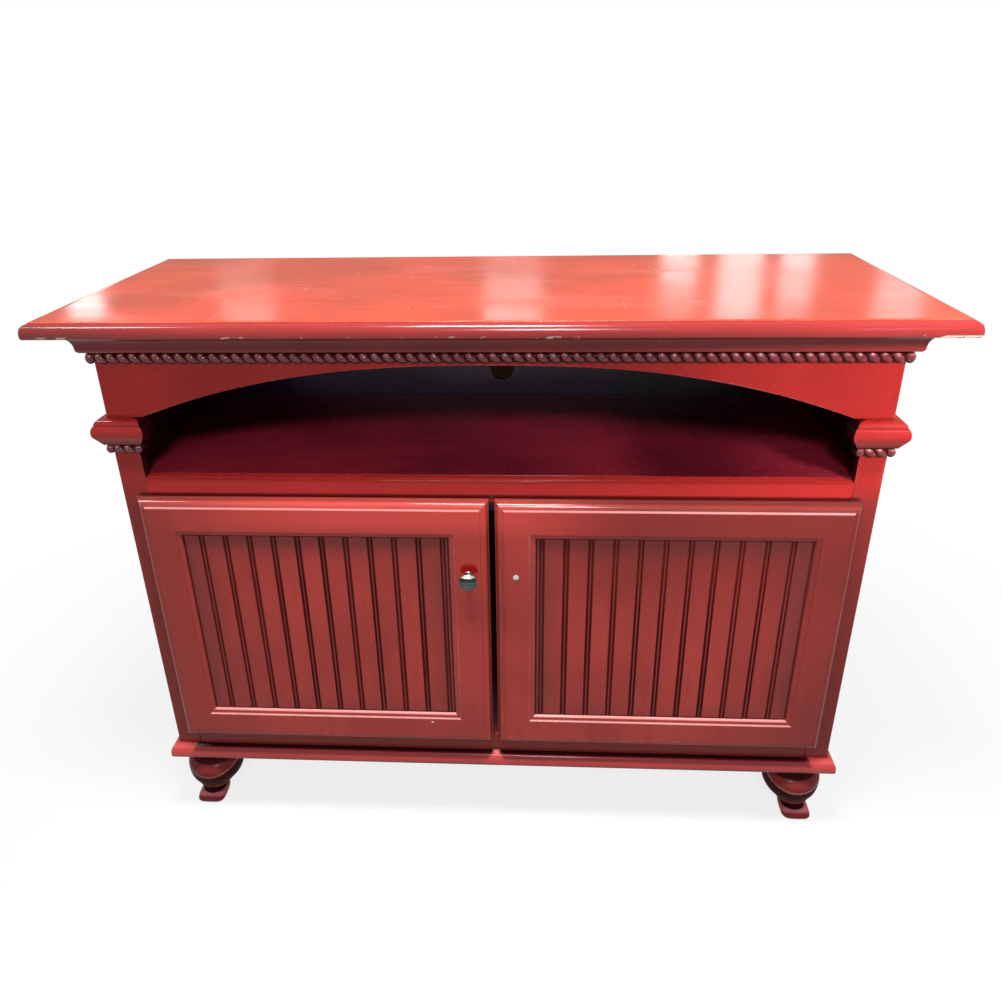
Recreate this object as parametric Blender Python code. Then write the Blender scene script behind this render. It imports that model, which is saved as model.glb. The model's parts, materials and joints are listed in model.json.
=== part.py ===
"""Media console: an open arched bay over two beaded overlay doors, on four turned feet.

Metres, +Z up, +X to the right, the doors face -Y.
The origin is on the floor, under the middle of the top.
"""
import math

import bmesh
import bpy
from mathutils import Vector

# Fits
GAP = 0.0003  # between pieces that touch
RUNNING_GAP = 0.0003  # between a hinge pin and its knuckle, all round
MEETING_GAP = 0.010  # between the two closed doors

# Case
BODY_WIDTH = 1.270
BODY_DEPTH = 0.458
FRAME_THICKNESS = 0.020  # stiles, rails and apron of the face frame
STILE_WIDTH = 0.0435
SIDE_THICKNESS = 0.018
SHELF_THICKNESS = 0.020
FLOOR_THICKNESS = 0.018
BACK_THICKNESS = 0.008
BACK_INSET = 0.010  # from the back edges of the sides to the back panel
BOTTOM_RAIL_HEIGHT = 0.069
CUPBOARD_HEIGHT = 0.498  # door opening, from rail to rail
SHELF_RAIL_HEIGHT = 0.042
BAY_HEIGHT = 0.1095  # from the media shelf to the springing of the arch
ARCH_RISE = 0.087
ARCH_POWER = 2.5  # 2 is a parabola, more is flatter at the crown
ARCH_SHOULDER = 0.0175  # flat underside of the apron inside each stile
ARCH_STEPS = 40
CABLE_HOLE_RADIUS = 0.025
CABLE_HOLE_RISE = 0.0585  # from the media shelf to the centre of the hole
BATTEN_DEPTH = 0.055

# Mouldings
FRIEZE_MARGIN = 0.0042  # plain strip between the crown of the arch and the rope
ROPE_HEIGHT = 0.0206
ROPE_OUT = 0.0110
CORNICE_ROLL_HEIGHT = 0.0075  # rounded lower edge of the cornice
CORNICE_ROLL_OUT = 0.0065
CORNICE_COVE_HEIGHT = 0.0215
CORNICE_COVE_OUT = 0.0170
CORNICE_FILLET_HEIGHT = 0.007
CORNICE_FILLET_OUT = 0.002
BASE_LEDGE = 0.009  # sloping ledge on the base moulding
BASE_LEDGE_FALL = 0.0035
BASE_ROUND_HEIGHT = 0.0175  # rounded nose under the ledge
BASE_ROUND_OUT = 0.006
BASE_UNDER_HEIGHT = 0.0075  # where the nose turns back under
BASE_UNDER_OUT = 0.0035
CAPITAL_FOOT_OUT = 0.0095
CAPITAL_FLARE_HEIGHT = 0.0170  # straight flare from the foot to the swelling band
CAPITAL_OUT = 0.0216  # at the widest of the band
CAPITAL_SWELL = 0.008
CAPITAL_SWELL_HEIGHT = 0.0134
CAPITAL_SWELL_ANGLES = (-30, 61)  # part of that ellipse that the band takes up
CAPITAL_QUIRK = 0.001  # step back from the band to the cap
CAPITAL_CAP_HEIGHT = 0.0102
CAPITAL_CAP_OUT = 0.0068  # at the top of the rounded cap
CAPITAL_RETURN = 0.045  # length of the capital along the outer side
NECK_ROPE_HEIGHT = 0.0175
NECK_ROPE_OUT = 0.010
CURVE_STEPS = 8

# Top
TOP_OVERHANG = 0.071  # past the case at the front and at both sides
TOP_BACK_OVERHANG = 0.020
TOP_EASE = 0.004  # rounding under the edge
TOP_BAND_HEIGHT = 0.003  # upright part of the edge
TOP_THUMB_HEIGHT = 0.0155
TOP_THUMB_WIDTH = 0.0125
TOP_STEP_HEIGHT = 0.0012  # little riser above the thumbnail
TOP_CHAMFER = 0.0008

# Feet
PAD_WIDTH = 0.057
PAD_DEPTH = 0.047
PAD_CORNER = 0.4  # 1 is an oval pad, 0 has square corners
PAD_HEIGHT = 0.026
PAD_CHAMFER_HEIGHT = 0.008  # round its lower edge
PAD_CHAMFER = 0.006
PAD_EASE_HEIGHT = 0.006  # round its upper edge
PAD_EASE = 0.0035
SPLAY_OUT = 0.021  # from the top of a foot to its pad, to the side
SPLAY_ALONG = 0.0125  # the same, to the front or the back
NECK_RADIUS = 0.0205
NECK_HEIGHT = 0.010
FLARE_HEIGHT = 0.012  # hollow from the neck up to the ring
RING_RADIUS = 0.034
RING_HEIGHT = 0.005
BUN_RADIUS = 0.056
BUN_ROUND = 0.034  # how far the sides of the bun swell
BUN_LOWER_HEIGHT = 0.049
BUN_UPPER_HEIGHT = 0.0265
PLATE_RADIUS = 0.040
PLATE_HEIGHT = 0.017
TENON_RADIUS = 0.0105
TENON_LENGTH = 0.030
TENON_EDGE_WALL = 0.0114  # wood from the tenon to the long edge of the batten
TENON_END_WALL = 0.021  # wood from the tenon to the end of the batten
FOOT_SIDES = 24

# Doors
DOOR_THICKNESS = 0.018
DOOR_LAP = 0.0095  # over the rails
DOOR_SIDE_LAP = 0.018  # over the stiles
DOOR_FRAME_WIDTH = 0.0605  # from the edge to the inner moulding
EDGE_BAND = 0.015  # width of the moulded outer edge
EDGE_LIP = 0.0055  # thickness of the lip at the outer edge
EDGE_SHOULDER = 0.0025
EDGE_FILLET = 0.0025
EDGE_STEP = 0.0025
STICK_WIDTH = 0.011  # inner moulding round the panel
STICK_STEP = 0.0018
PANEL_THICKNESS = 0.006
PANEL_BACK_LIP = 0.003  # frame behind the panel
PANEL_GROOVE = 0.008
BEAD_PITCH = 0.0422
BEAD_MARGIN = 0.0085  # from the inner moulding of the meeting stile to the first bead
BEAD_HALF = 0.0034  # from the middle of a bead to its quirk
QUIRK_HALF = 0.0009
QUIRK_DEPTH = 0.002

# Hinges
LEAF_THICKNESS = 0.0012
LEAF_WIDTH = 0.0125
HINGE_LENGTH = 0.055
HINGE_FROM_END = 0.060  # from the end of a door to the nearer end of its hinge
KNUCKLE_RADIUS = 0.0025
PIN_RADIUS = 0.0011
AXIS_INSET = 0.0018  # from the outer edge of a door to its hinge axis
PIN_SIDES = 16

# Knob, screws and catch
KNOB_RADIUS = 0.016
KNOB_ROSE_RADIUS = 0.010
KNOB_ROSE_LENGTH = 0.003
KNOB_STEM_RADIUS = 0.0067
KNOB_STEM_LENGTH = 0.009
KNOB_CUP_LENGTH = 0.007
KNOB_DOME_LENGTH = 0.007
KNOB_HEIGHT = 0.375  # above the bottom edge of the door
KNOB_FROM_EDGE = 0.036  # from the meeting edge of the door
SCREW_RADIUS = 0.003
SCREW_HEAD_RADIUS = 0.005
SCREW_HEAD_HEIGHT = 0.002
SCREW_OUT = 0.009  # length of the knob screw in front of its door
BARE_SCREW_BEHIND = 0.004  # length of the bare screw behind its door
TURNED_SIDES = 28
CATCH_WIDTH = 0.064
CATCH_DEPTH = 0.020
CATCH_HEIGHT = 0.015
STRIKE_WIDTH = 0.020
STRIKE_HEIGHT = 0.012
STRIKE_THICKNESS = 0.0012
STRIKE_FROM_EDGE = 0.006

# Places that follow from the sizes above
HALF_BODY = BODY_WIDTH / 2
HALF_BAY = HALF_BODY - STILE_WIDTH
HALF_INSIDE = HALF_BODY - SIDE_THICKNESS
TOP_DEPTH = TOP_OVERHANG + BODY_DEPTH + TOP_BACK_OVERHANG
TOP_THICKNESS = TOP_EASE + TOP_BAND_HEIGHT + TOP_THUMB_HEIGHT + TOP_STEP_HEIGHT + TOP_CHAMFER
CORNICE_HEIGHT = CORNICE_ROLL_HEIGHT + CORNICE_COVE_HEIGHT + CORNICE_FILLET_HEIGHT
BASE_HEIGHT = BASE_UNDER_HEIGHT + BASE_ROUND_HEIGHT + BASE_LEDGE_FALL
SWELL_SINES = [math.sin(math.radians(angle)) for angle in CAPITAL_SWELL_ANGLES]
CAPITAL_BAND_HEIGHT = CAPITAL_SWELL_HEIGHT * (SWELL_SINES[1] - SWELL_SINES[0])
CAPITAL_HEIGHT = CAPITAL_FLARE_HEIGHT + CAPITAL_BAND_HEIGHT + CAPITAL_CAP_HEIGHT
Z_NECK = PAD_HEIGHT
Z_FLARE = Z_NECK + NECK_HEIGHT
Z_RING = Z_FLARE + FLARE_HEIGHT
Z_BUN_FOOT = Z_RING + RING_HEIGHT
Z_BUN = Z_BUN_FOOT + BUN_LOWER_HEIGHT
Z_PLATE = Z_BUN + BUN_UPPER_HEIGHT
FOOT_HEIGHT = Z_PLATE + PLATE_HEIGHT
Y_FACE = TOP_OVERHANG - TOP_DEPTH / 2
Y_FRAME_BACK = Y_FACE + FRAME_THICKNESS
Y_BACK = Y_FACE + BODY_DEPTH
Y_PANEL = Y_BACK - BACK_INSET - BACK_THICKNESS
Z_CASE = FOOT_HEIGHT
Z_FLOOR = Z_CASE + BOTTOM_RAIL_HEIGHT
Z_RAIL = Z_FLOOR + CUPBOARD_HEIGHT
Z_SHELF = Z_RAIL + SHELF_RAIL_HEIGHT
Z_SPRING = Z_SHELF + BAY_HEIGHT
Z_CROWN = Z_SPRING + ARCH_RISE
Z_ROPE = Z_CROWN + FRIEZE_MARGIN
Z_CORNICE = Z_ROPE + ROPE_HEIGHT
Z_TOP = Z_CORNICE + CORNICE_HEIGHT
Z_CAPITAL = Z_SPRING - CAPITAL_HEIGHT
Z_NECK_ROPE = Z_CAPITAL - NECK_ROPE_HEIGHT

STANDOFF = 2 * LEAF_THICKNESS + 3 * GAP  # two folded hinge leaves fill it
Y_DOOR = Y_FACE - STANDOFF  # back of the closed doors
Y_DOOR_FACE = Y_DOOR - DOOR_THICKNESS
Y_AXIS = Y_FACE - GAP - KNUCKLE_RADIUS
DOOR_OUTER = HALF_BAY + DOOR_SIDE_LAP
DOOR_INNER = MEETING_GAP / 2
DOOR_BOTTOM = Z_FLOOR - DOOR_LAP
DOOR_TOP = Z_RAIL + DOOR_LAP
X_AXIS = DOOR_OUTER - AXIS_INSET
KNUCKLE_CLEAR = KNUCKLE_RADIUS + 2 * GAP
REBATE_WIDTH = AXIS_INSET + KNUCKLE_CLEAR
REBATE_DEPTH = Y_DOOR - (Y_AXIS - KNUCKLE_CLEAR)
PANEL_BACK = PANEL_BACK_LIP + GAP
PANEL_FRONT = PANEL_BACK + PANEL_THICKNESS
KNOB_Z = DOOR_BOTTOM + KNOB_HEIGHT

# Colour, roughness and metallic value of each finish
FINISHES = {
    "red_paint": ((0.235, 0.040, 0.032), 0.40, 0.0),
    "dark_red_paint": ((0.060, 0.010, 0.012), 0.35, 0.0),
    "brown_board": ((0.110, 0.062, 0.036), 0.75, 0.0),
    "pewter": ((0.090, 0.085, 0.080), 0.35, 1.0),
    "steel": ((0.560, 0.550, 0.530), 0.35, 1.0),
    "brass": ((0.420, 0.290, 0.110), 0.40, 1.0),
    "black_plastic": ((0.012, 0.012, 0.012), 0.55, 0.0),
}


# Making solids

def finish(name):
    """The Principled material of a named finish, made once."""
    material = bpy.data.materials.get(name)
    if material is None:
        colour, roughness, metallic = FINISHES[name]
        material = bpy.data.materials.new(name)
        material.use_nodes = True
        shader = material.node_tree.nodes["Principled BSDF"]
        shader.inputs["Base Color"].default_value = (*colour, 1.0)
        shader.inputs["Roughness"].default_value = roughness
        shader.inputs["Metallic"].default_value = metallic
    return material


def loft(name, rings, paint, parent=None, smooth=False):
    """One closed solid through rings of matching points, capped at both ends."""
    origin = parent.location if parent else Vector()
    shape = bmesh.new()
    loops = [[shape.verts.new(Vector(point) - origin) for point in ring] for ring in rings]
    for near, far in zip(loops, loops[1:]):
        for k in range(len(near)):
            following = (k + 1) % len(near)
            shape.faces.new((near[k], near[following], far[following], far[k]))
    shape.faces.new(loops[0])
    shape.faces.new(loops[-1])
    bmesh.ops.recalc_face_normals(shape, faces=shape.faces)
    mesh = bpy.data.meshes.new(name)
    shape.to_mesh(mesh)
    shape.free()
    if smooth:
        mesh.shade_smooth()
        mesh.set_sharp_from_angle(angle=math.radians(35))
    solid = bpy.data.objects.new(name, mesh)
    bpy.context.scene.collection.objects.link(solid)
    solid.data.materials.append(finish(paint))
    solid.parent = parent
    return solid


def box(name, x, y, z, paint="red_paint", parent=None):
    """A board between two limits along each axis."""
    outline = ((x[0], y[0]), (x[1], y[0]), (x[1], y[1]), (x[0], y[1]))
    return loft(name, [[(px, py, height) for px, py in outline] for height in z], paint, parent)


def circle(centre, radius, across, up, sides):
    """Points round a circle that lies in the plane of two unit directions."""
    turns = [2 * math.pi * k / sides for k in range(sides)]
    return [centre + radius * (math.cos(t) * across + math.sin(t) * up) for t in turns]


def turned(name, base, along, profile, paint, parent=None, sides=TURNED_SIDES):
    """A solid turned about an axis, from (radius, distance along the axis) points."""
    along = Vector(along)
    across = Vector((0, 0, 1)) if abs(along.z) < 0.5 else Vector((1, 0, 0))
    up = along.cross(across)
    rings = [circle(Vector(base) + along * far, radius, across, up, sides) for radius, far in profile]
    return loft(name, rings, paint, parent, smooth=True)


def cut(solid, cutter):
    """Cut one solid by another, which is then removed."""
    difference = solid.modifiers.new("cut", "BOOLEAN")
    difference.operation = "DIFFERENCE"
    difference.object = cutter
    bpy.context.view_layer.update()
    evaluated = solid.evaluated_get(bpy.context.evaluated_depsgraph_get())
    result = bpy.data.meshes.new_from_object(evaluated)
    solid.modifiers.remove(difference)
    solid.data = result
    bpy.data.objects.remove(cutter)


def drill(solid, start, end, radius, sides=TURNED_SIDES):
    """Drill a round hole from one point to another."""
    along = Vector(end) - Vector(start)
    profile = ((radius, 0.0), (radius, along.length))
    cut(solid, turned("drill", start, along.normalized(), profile, "steel", sides=sides))


# Moulding sections: (out from the face, height) points, from the bottom of the face to its top

def arc(centre, radii, start, end, steps=CURVE_STEPS):
    """Points along part of an ellipse, between two angles in degrees."""
    angles = [math.radians(start + (end - start) * k / steps) for k in range(steps + 1)]
    return [(centre[0] + radii[0] * math.cos(a), centre[1] + radii[1] * math.sin(a)) for a in angles]


def rope_section(height, out):
    """A half round."""
    return arc((0.0, height / 2), (out, height / 2), -90, 90)


def cornice_section():
    """A cove over a rounded lower edge, with a fillet under the top."""
    roll_top = CORNICE_ROLL_HEIGHT
    head = roll_top + CORNICE_COVE_HEIGHT
    reach = ROPE_OUT + CORNICE_ROLL_OUT
    ledge = reach + CORNICE_COVE_OUT
    edge = ledge + CORNICE_FILLET_OUT
    top = CORNICE_HEIGHT - GAP
    roll = arc((ROPE_OUT, roll_top), (CORNICE_ROLL_OUT, roll_top), -90, 0)
    cove = arc((ledge, roll_top), (CORNICE_COVE_OUT, CORNICE_COVE_HEIGHT), 180, 90)[1:]
    return [(0.0, 0.0)] + roll + cove + [(edge, head), (edge, top), (0.0, top)]


def base_section():
    """A rounded nose under a sloping ledge."""
    out = BASE_LEDGE + BASE_ROUND_OUT
    turn = BASE_UNDER_HEIGHT
    under = arc((out - BASE_UNDER_OUT, turn), (BASE_UNDER_OUT, turn), -90, 0, CURVE_STEPS // 2)
    nose = arc((BASE_LEDGE, turn), (BASE_ROUND_OUT, BASE_ROUND_HEIGHT), 0, 90)[1:]
    return [(0.0, 0.0)] + under + nose + [(0.0, BASE_HEIGHT)]


def capital_section():
    """A flare up to a swelling band, under a rounded cap."""
    middle = CAPITAL_FLARE_HEIGHT - CAPITAL_SWELL_HEIGHT * SWELL_SINES[0]
    top = CAPITAL_HEIGHT - GAP
    swell = (CAPITAL_SWELL, CAPITAL_SWELL_HEIGHT)
    band = arc((CAPITAL_OUT - CAPITAL_SWELL, middle), swell, *CAPITAL_SWELL_ANGLES)
    edge, foot = band[-1]
    reach = edge - CAPITAL_QUIRK - CAPITAL_CAP_OUT
    cap = arc((CAPITAL_CAP_OUT, foot), (reach, top - foot), 0, 90)
    return [(0.0, 0.0), (CAPITAL_FOOT_OUT, 0.0)] + band + cap + [(0.0, top)]


def run(name, section, path, height, paint="red_paint", open_start=True, open_end=True):
    """A moulding along a flat path of corners, with its face to the right of the way it runs.

    Corners are mitred. An end that is not open is mitred too, to meet the next length.
    """
    corners = [Vector(point) for point in path]
    ways = [(b - a).normalized() for a, b in zip(corners, corners[1:])]
    outs = [Vector((way.y, -way.x)) for way in ways]
    rings = []
    for k, corner in enumerate(corners):
        if 0 < k < len(corners) - 1:
            lean = outs[k - 1] + outs[k]
            shift = Vector((0.0, 0.0))
        else:
            first = k == 0
            out = outs[0] if first else outs[-1]
            way = -ways[0] if first else ways[-1]
            mitred = not (open_start if first else open_end)
            lean = out + way if mitred else out
            shift = -way * GAP * math.sqrt(0.5) if mitred else Vector((0.0, 0.0))
        places = [corner + shift + lean * (out_by + GAP) for out_by, rise in section]
        rings.append([(p.x, p.y, height + rise) for p, (out_by, rise) in zip(places, section)])
    return loft(name, rings, paint)


def wrap(name, section, height, paint="red_paint"):
    """A moulding round the front and both sides of the case, in three mitred lengths."""
    left_back, left_front = (-HALF_BODY, Y_BACK), (-HALF_BODY, Y_FACE)
    right_front, right_back = (HALF_BODY, Y_FACE), (HALF_BODY, Y_BACK)
    run(name + "_left", section, (left_back, left_front), height, paint, open_end=False)
    run(name + "_front", section, (left_front, right_front), height, paint, False, False)
    run(name + "_right", section, (right_front, right_back), height, paint, open_start=False)


# Case

def face_frame():
    """Two stiles, two rails and the arched apron that they carry."""
    depth = (Y_FACE, Y_FRAME_BACK)
    between = (-HALF_BAY + GAP, HALF_BAY - GAP)
    box("left_stile", (-HALF_BODY, -HALF_BAY), depth, (Z_CASE, Z_SPRING - GAP))
    box("right_stile", (HALF_BAY, HALF_BODY), depth, (Z_CASE, Z_SPRING - GAP))
    box("bottom_rail", between, depth, (Z_CASE, Z_FLOOR))
    box("shelf_rail", between, depth, (Z_RAIL, Z_SHELF))
    half_arch = HALF_BAY - ARCH_SHOULDER
    shares = [2 * k / ARCH_STEPS - 1 for k in range(ARCH_STEPS + 1)]
    arch = [(half_arch * s, Z_CROWN - ARCH_RISE * abs(s) ** ARCH_POWER) for s in shares]
    top = Z_TOP - GAP
    outline = [(-HALF_BODY, Z_SPRING)] + arch
    outline += [(HALF_BODY, Z_SPRING), (HALF_BODY, top), (-HALF_BODY, top)]
    loft("arched_apron", [[(x, y, z) for x, z in outline] for y in depth], "red_paint")


def boards():
    """Sides, shelf, floor and back."""
    behind = Y_FRAME_BACK + GAP
    inside = (-HALF_INSIDE + GAP, HALF_INSIDE - GAP)
    box("left_side", (-HALF_BODY, -HALF_INSIDE), (behind, Y_BACK), (Z_CASE, Z_TOP - GAP))
    box("right_side", (HALF_INSIDE, HALF_BODY), (behind, Y_BACK), (Z_CASE, Z_TOP - GAP))
    deep = (behind, Y_PANEL - GAP)
    box("media_shelf", inside, deep, (Z_SHELF - SHELF_THICKNESS, Z_SHELF), "dark_red_paint")
    box("cabinet_floor", inside, deep, (Z_FLOOR - FLOOR_THICKNESS, Z_FLOOR), "brown_board")
    thick = (Y_PANEL, Y_PANEL + BACK_THICKNESS)
    panel = box("back_panel", inside, thick, (Z_CASE, Z_TOP - GAP), "dark_red_paint")
    hole_z = Z_SHELF + CABLE_HOLE_RISE
    past = BACK_THICKNESS
    drill(panel, (0, Y_PANEL - past, hole_z), (0, Y_BACK + past, hole_z), CABLE_HOLE_RADIUS)


def top_slab():
    """The top: a thumbnail edge at the front and both sides, a square edge at the back."""
    reach = TOP_OVERHANG
    shoulder = reach - TOP_THUMB_WIDTH
    band_top = TOP_EASE + TOP_BAND_HEIGHT
    under = arc((reach - TOP_EASE, TOP_EASE), (TOP_EASE, TOP_EASE), -90, 0, CURVE_STEPS // 2)
    thumb = arc((shoulder, band_top), (TOP_THUMB_WIDTH, TOP_THUMB_HEIGHT), 0, 90)
    upper = [(shoulder, TOP_THICKNESS - TOP_CHAMFER), (shoulder - TOP_CHAMFER, TOP_THICKNESS)]
    rings = []
    back = Y_BACK + TOP_BACK_OVERHANG
    for out, height in under + thumb + upper:
        side = HALF_BODY + out
        front = Y_FACE - out
        outline = ((-side, front), (side, front), (side, back), (-side, back))
        rings.append([(x, y, Z_TOP + height) for x, y in outline])
    loft("top_slab", rings, "red_paint")


def capitals():
    """A capital and a rope ring round the head of each stile."""
    for name, side in (("left", -1), ("right", 1)):
        outer, inner = side * HALF_BODY, side * HALF_BAY
        path = [(outer, Y_FACE + CAPITAL_RETURN), (outer, Y_FACE), (inner, Y_FACE), (inner, Y_FRAME_BACK)]
        if side > 0:
            path.reverse()
        run("capital_" + name, capital_section(), path, Z_CAPITAL)
        ring = rope_section(NECK_ROPE_HEIGHT - GAP, NECK_ROPE_OUT)
        run("capital_rope_" + name, ring, path, Z_NECK_ROPE)


# Feet

def squared(turn):
    """A point of the outline of a pad that is two units across."""
    return [math.copysign(abs(part) ** PAD_CORNER, part) for part in (math.cos(turn), math.sin(turn))]


def foot_rings(x, y, side, way):
    """Rings of one foot, from its pad up to the tenon in the batten.

    The foot sweeps out to its side and along its way, to the front or the back.
    """
    pad = [(PAD_CHAMFER, 0.0), (0.0, PAD_CHAMFER_HEIGHT)]
    pad += [(0.0, PAD_HEIGHT - PAD_EASE_HEIGHT), (PAD_EASE, PAD_HEIGHT)]
    flare = arc((RING_RADIUS, Z_FLARE), (RING_RADIUS - NECK_RADIUS, FLARE_HEIGHT), 180, 90, 4)
    ring = [(NECK_RADIUS, Z_NECK)] + flare + [(RING_RADIUS, Z_BUN_FOOT)]
    core = BUN_RADIUS - BUN_ROUND
    low = arc((core, Z_BUN), (BUN_ROUND, BUN_LOWER_HEIGHT), -65, 0, 6)
    high = arc((core, Z_BUN), (BUN_ROUND, BUN_UPPER_HEIGHT), 0, 60, 4)[1:]
    top = FOOT_HEIGHT - GAP
    plate = [(PLATE_RADIUS, Z_PLATE), (PLATE_RADIUS, top)]
    tenon = [(TENON_RADIUS, top), (TENON_RADIUS, top + TENON_LENGTH)]
    turning = ring + low + high + plate + tenon
    turns = [2 * math.pi * k / FOOT_SIDES for k in range(FOOT_SIDES)]

    def ring_at(height, wide, deep, outline):
        lean = max(1 - height / Z_PLATE, 0.0) ** 2
        middle = (x + side * SPLAY_OUT * lean, y + way * SPLAY_ALONG * lean)
        return [(middle[0] + wide * a, middle[1] + deep * b, height) for a, b in outline]

    square = [squared(t) for t in turns]
    rounded = [(math.cos(t), math.sin(t)) for t in turns]
    rings = [ring_at(height, PAD_WIDTH / 2 - inset, PAD_DEPTH / 2 - inset, square) for inset, height in pad]
    rings += [ring_at(height, radius, radius, rounded) for radius, height in turning]
    return rings


def feet():
    """Two battens under the floor, and four feet tenoned into them."""
    inside = (-HALF_INSIDE + GAP, HALF_INSIDE - GAP)
    height = (Z_CASE, Z_FLOOR - FLOOR_THICKNESS - GAP)
    front_y = (Y_FRAME_BACK + GAP, Y_FRAME_BACK + GAP + BATTEN_DEPTH)
    rear_y = (Y_PANEL - GAP - BATTEN_DEPTH, Y_PANEL - GAP)
    hole_radius = TENON_RADIUS + GAP
    inset = TENON_EDGE_WALL + hole_radius
    places = (("front", -1, front_y, front_y[0] + inset), ("rear", 1, rear_y, rear_y[1] - inset))
    for end, way, depth, y in places:
        batten = box(end + "_batten", inside, depth, height, "brown_board")
        for name, side in (("left", -1), ("right", 1)):
            x = side * (inside[1] - TENON_END_WALL - hole_radius)
            loft("foot_{}_{}".format(end, name), foot_rings(x, y, side, way), "red_paint", smooth=True)
            start, stop = (x, y, Z_CASE - TENON_LENGTH), (x, y, Z_CASE + TENON_LENGTH)
            drill(batten, start, stop, hole_radius, FOOT_SIDES)


# Doors

def door_section(rebated):
    """Section of a door frame piece: (in from the outer edge, forward from the back) points."""
    face = DOOR_THICKNESS
    ledge = face - EDGE_STEP
    inner = DOOR_FRAME_WIDTH + STICK_WIDTH
    groove_front = PANEL_FRONT + GAP
    back = [(0.0, 0.0)]
    if rebated:
        back = [(REBATE_WIDTH, 0.0), (REBATE_WIDTH, REBATE_DEPTH), (0.0, REBATE_DEPTH)]
    reach = EDGE_BAND - EDGE_FILLET
    ovolo = arc((reach, EDGE_LIP), (reach - EDGE_SHOULDER, ledge - EDGE_LIP), 180, 90)
    edge = back + [(0.0, EDGE_LIP)] + ovolo + [(EDGE_BAND, ledge), (EDGE_BAND, face)]
    low = groove_front + STICK_STEP / 2
    stick = arc((DOOR_FRAME_WIDTH, low), (STICK_WIDTH - STICK_STEP, face - STICK_STEP - low), 90, 0)
    groove = [(inner, low), (inner, groove_front), (inner - PANEL_GROOVE, groove_front)]
    groove += [(inner - PANEL_GROOVE, PANEL_BACK_LIP), (inner, PANEL_BACK_LIP), (inner, 0.0)]
    return edge + [(DOOR_FRAME_WIDTH, face)] + stick + groove


def door_frame(name, side, axis):
    """Two stiles and two rails of one door, mitred at its corners; gives the meeting stile."""
    mitre = GAP * math.sqrt(0.5)
    section = door_section(False)

    def upright(piece, edge, inward, outline):
        low = [(side * (edge + inward * s), Y_DOOR - t, DOOR_BOTTOM + mitre + s) for s, t in outline]
        high = [(side * (edge + inward * s), Y_DOOR - t, DOOR_TOP - mitre - s) for s, t in outline]
        return loft(name + piece, [low, high], "red_paint", axis)

    def crosspiece(piece, edge, upward):
        near = [(side * (DOOR_INNER + mitre + s), Y_DOOR - t, edge + upward * s) for s, t in section]
        far = [(side * (DOOR_OUTER - mitre - s), Y_DOOR - t, edge + upward * s) for s, t in section]
        loft(name + piece, [near, far], "red_paint", axis)

    crosspiece("_bottom_rail", DOOR_BOTTOM, 1)
    crosspiece("_top_rail", DOOR_TOP, -1)
    upright("_hinge_stile", DOOR_OUTER, -1, door_section(True))
    return upright("_meeting_stile", DOOR_INNER, 1, section)


def bead_panel(name, side, axis):
    """The beaded panel of one door, loose in the grooves of its frame."""
    inset = DOOR_FRAME_WIDTH + STICK_WIDTH - PANEL_GROOVE + GAP
    first, last = DOOR_INNER + inset, DOOR_OUTER - inset
    field = DOOR_INNER + DOOR_FRAME_WIDTH + STICK_WIDTH
    room = DOOR_OUTER - DOOR_FRAME_WIDTH - STICK_WIDTH - BEAD_HALF - QUIRK_HALF
    count = int((room - field - BEAD_MARGIN) / BEAD_PITCH) + 1
    half = BEAD_HALF - QUIRK_HALF
    bead = [(-BEAD_HALF - QUIRK_HALF, 0.0), (-BEAD_HALF, QUIRK_DEPTH), (-half, QUIRK_DEPTH / 2)]
    bead += [(-half / 2, QUIRK_DEPTH / 8), (0.0, 0.0), (half / 2, QUIRK_DEPTH / 8)]
    bead += [(half, QUIRK_DEPTH / 2), (BEAD_HALF, QUIRK_DEPTH), (BEAD_HALF + QUIRK_HALF, 0.0)]
    outline = [(first, PANEL_BACK), (first, PANEL_FRONT)]
    for k in range(count):
        middle = field + BEAD_MARGIN + k * BEAD_PITCH
        outline += [(middle + x, PANEL_FRONT - sunk) for x, sunk in bead]
    outline += [(last, PANEL_FRONT), (last, PANEL_BACK)]
    ends = (DOOR_BOTTOM + inset, DOOR_TOP - inset)
    rings = [[(side * x, Y_DOOR - t, z) for x, t in outline] for z in ends]
    loft(name + "_bead_panel", rings, "red_paint", axis)


# Hinges

def leaf(name, side, plate_y, z, keeps_middle, paint, parent):
    """One hinge leaf: a plate with knuckles, its outer thirds or its middle third cut back."""
    x = side * X_AXIS
    inward = -side
    sines = [min((edge - Y_AXIS) / KNUCKLE_RADIUS, 1.0) for edge in plate_y]
    start, end = math.asin(sines[1]), math.asin(sines[0]) + 2 * math.pi
    steps = 3 * CURVE_STEPS
    turns = [start + (end - start) * k / steps for k in range(steps + 1)]
    radius = KNUCKLE_RADIUS
    barrel = [(x + inward * radius * math.cos(t), Y_AXIS + radius * math.sin(t)) for t in turns]
    tip = x + inward * LEAF_WIDTH
    outline = barrel + [(tip, plate_y[0]), (tip, plate_y[1])]
    plate = loft(name, [[(px, py, height) for px, py in outline] for height in z], paint, parent)
    length = z[1] - z[0]
    drill(plate, (x, Y_AXIS, z[0] - length), (x, Y_AXIS, z[1] + length), PIN_RADIUS + RUNNING_GAP, PIN_SIDES)
    thirds = [z[0] + length * k / 3 for k in range(4)]
    spans = [(thirds[1] - GAP, thirds[2] + GAP)]
    if keeps_middle:
        spans = [(z[0] - length, thirds[1]), (thirds[2], z[1] + length)]
    reach = sorted((x + inward * KNUCKLE_CLEAR, x - inward * 2 * KNUCKLE_RADIUS))
    deep = (Y_AXIS - 2 * KNUCKLE_RADIUS, Y_AXIS + 2 * KNUCKLE_RADIUS)
    for span in spans:
        cut(plate, box("relief", reach, deep, span))


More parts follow.
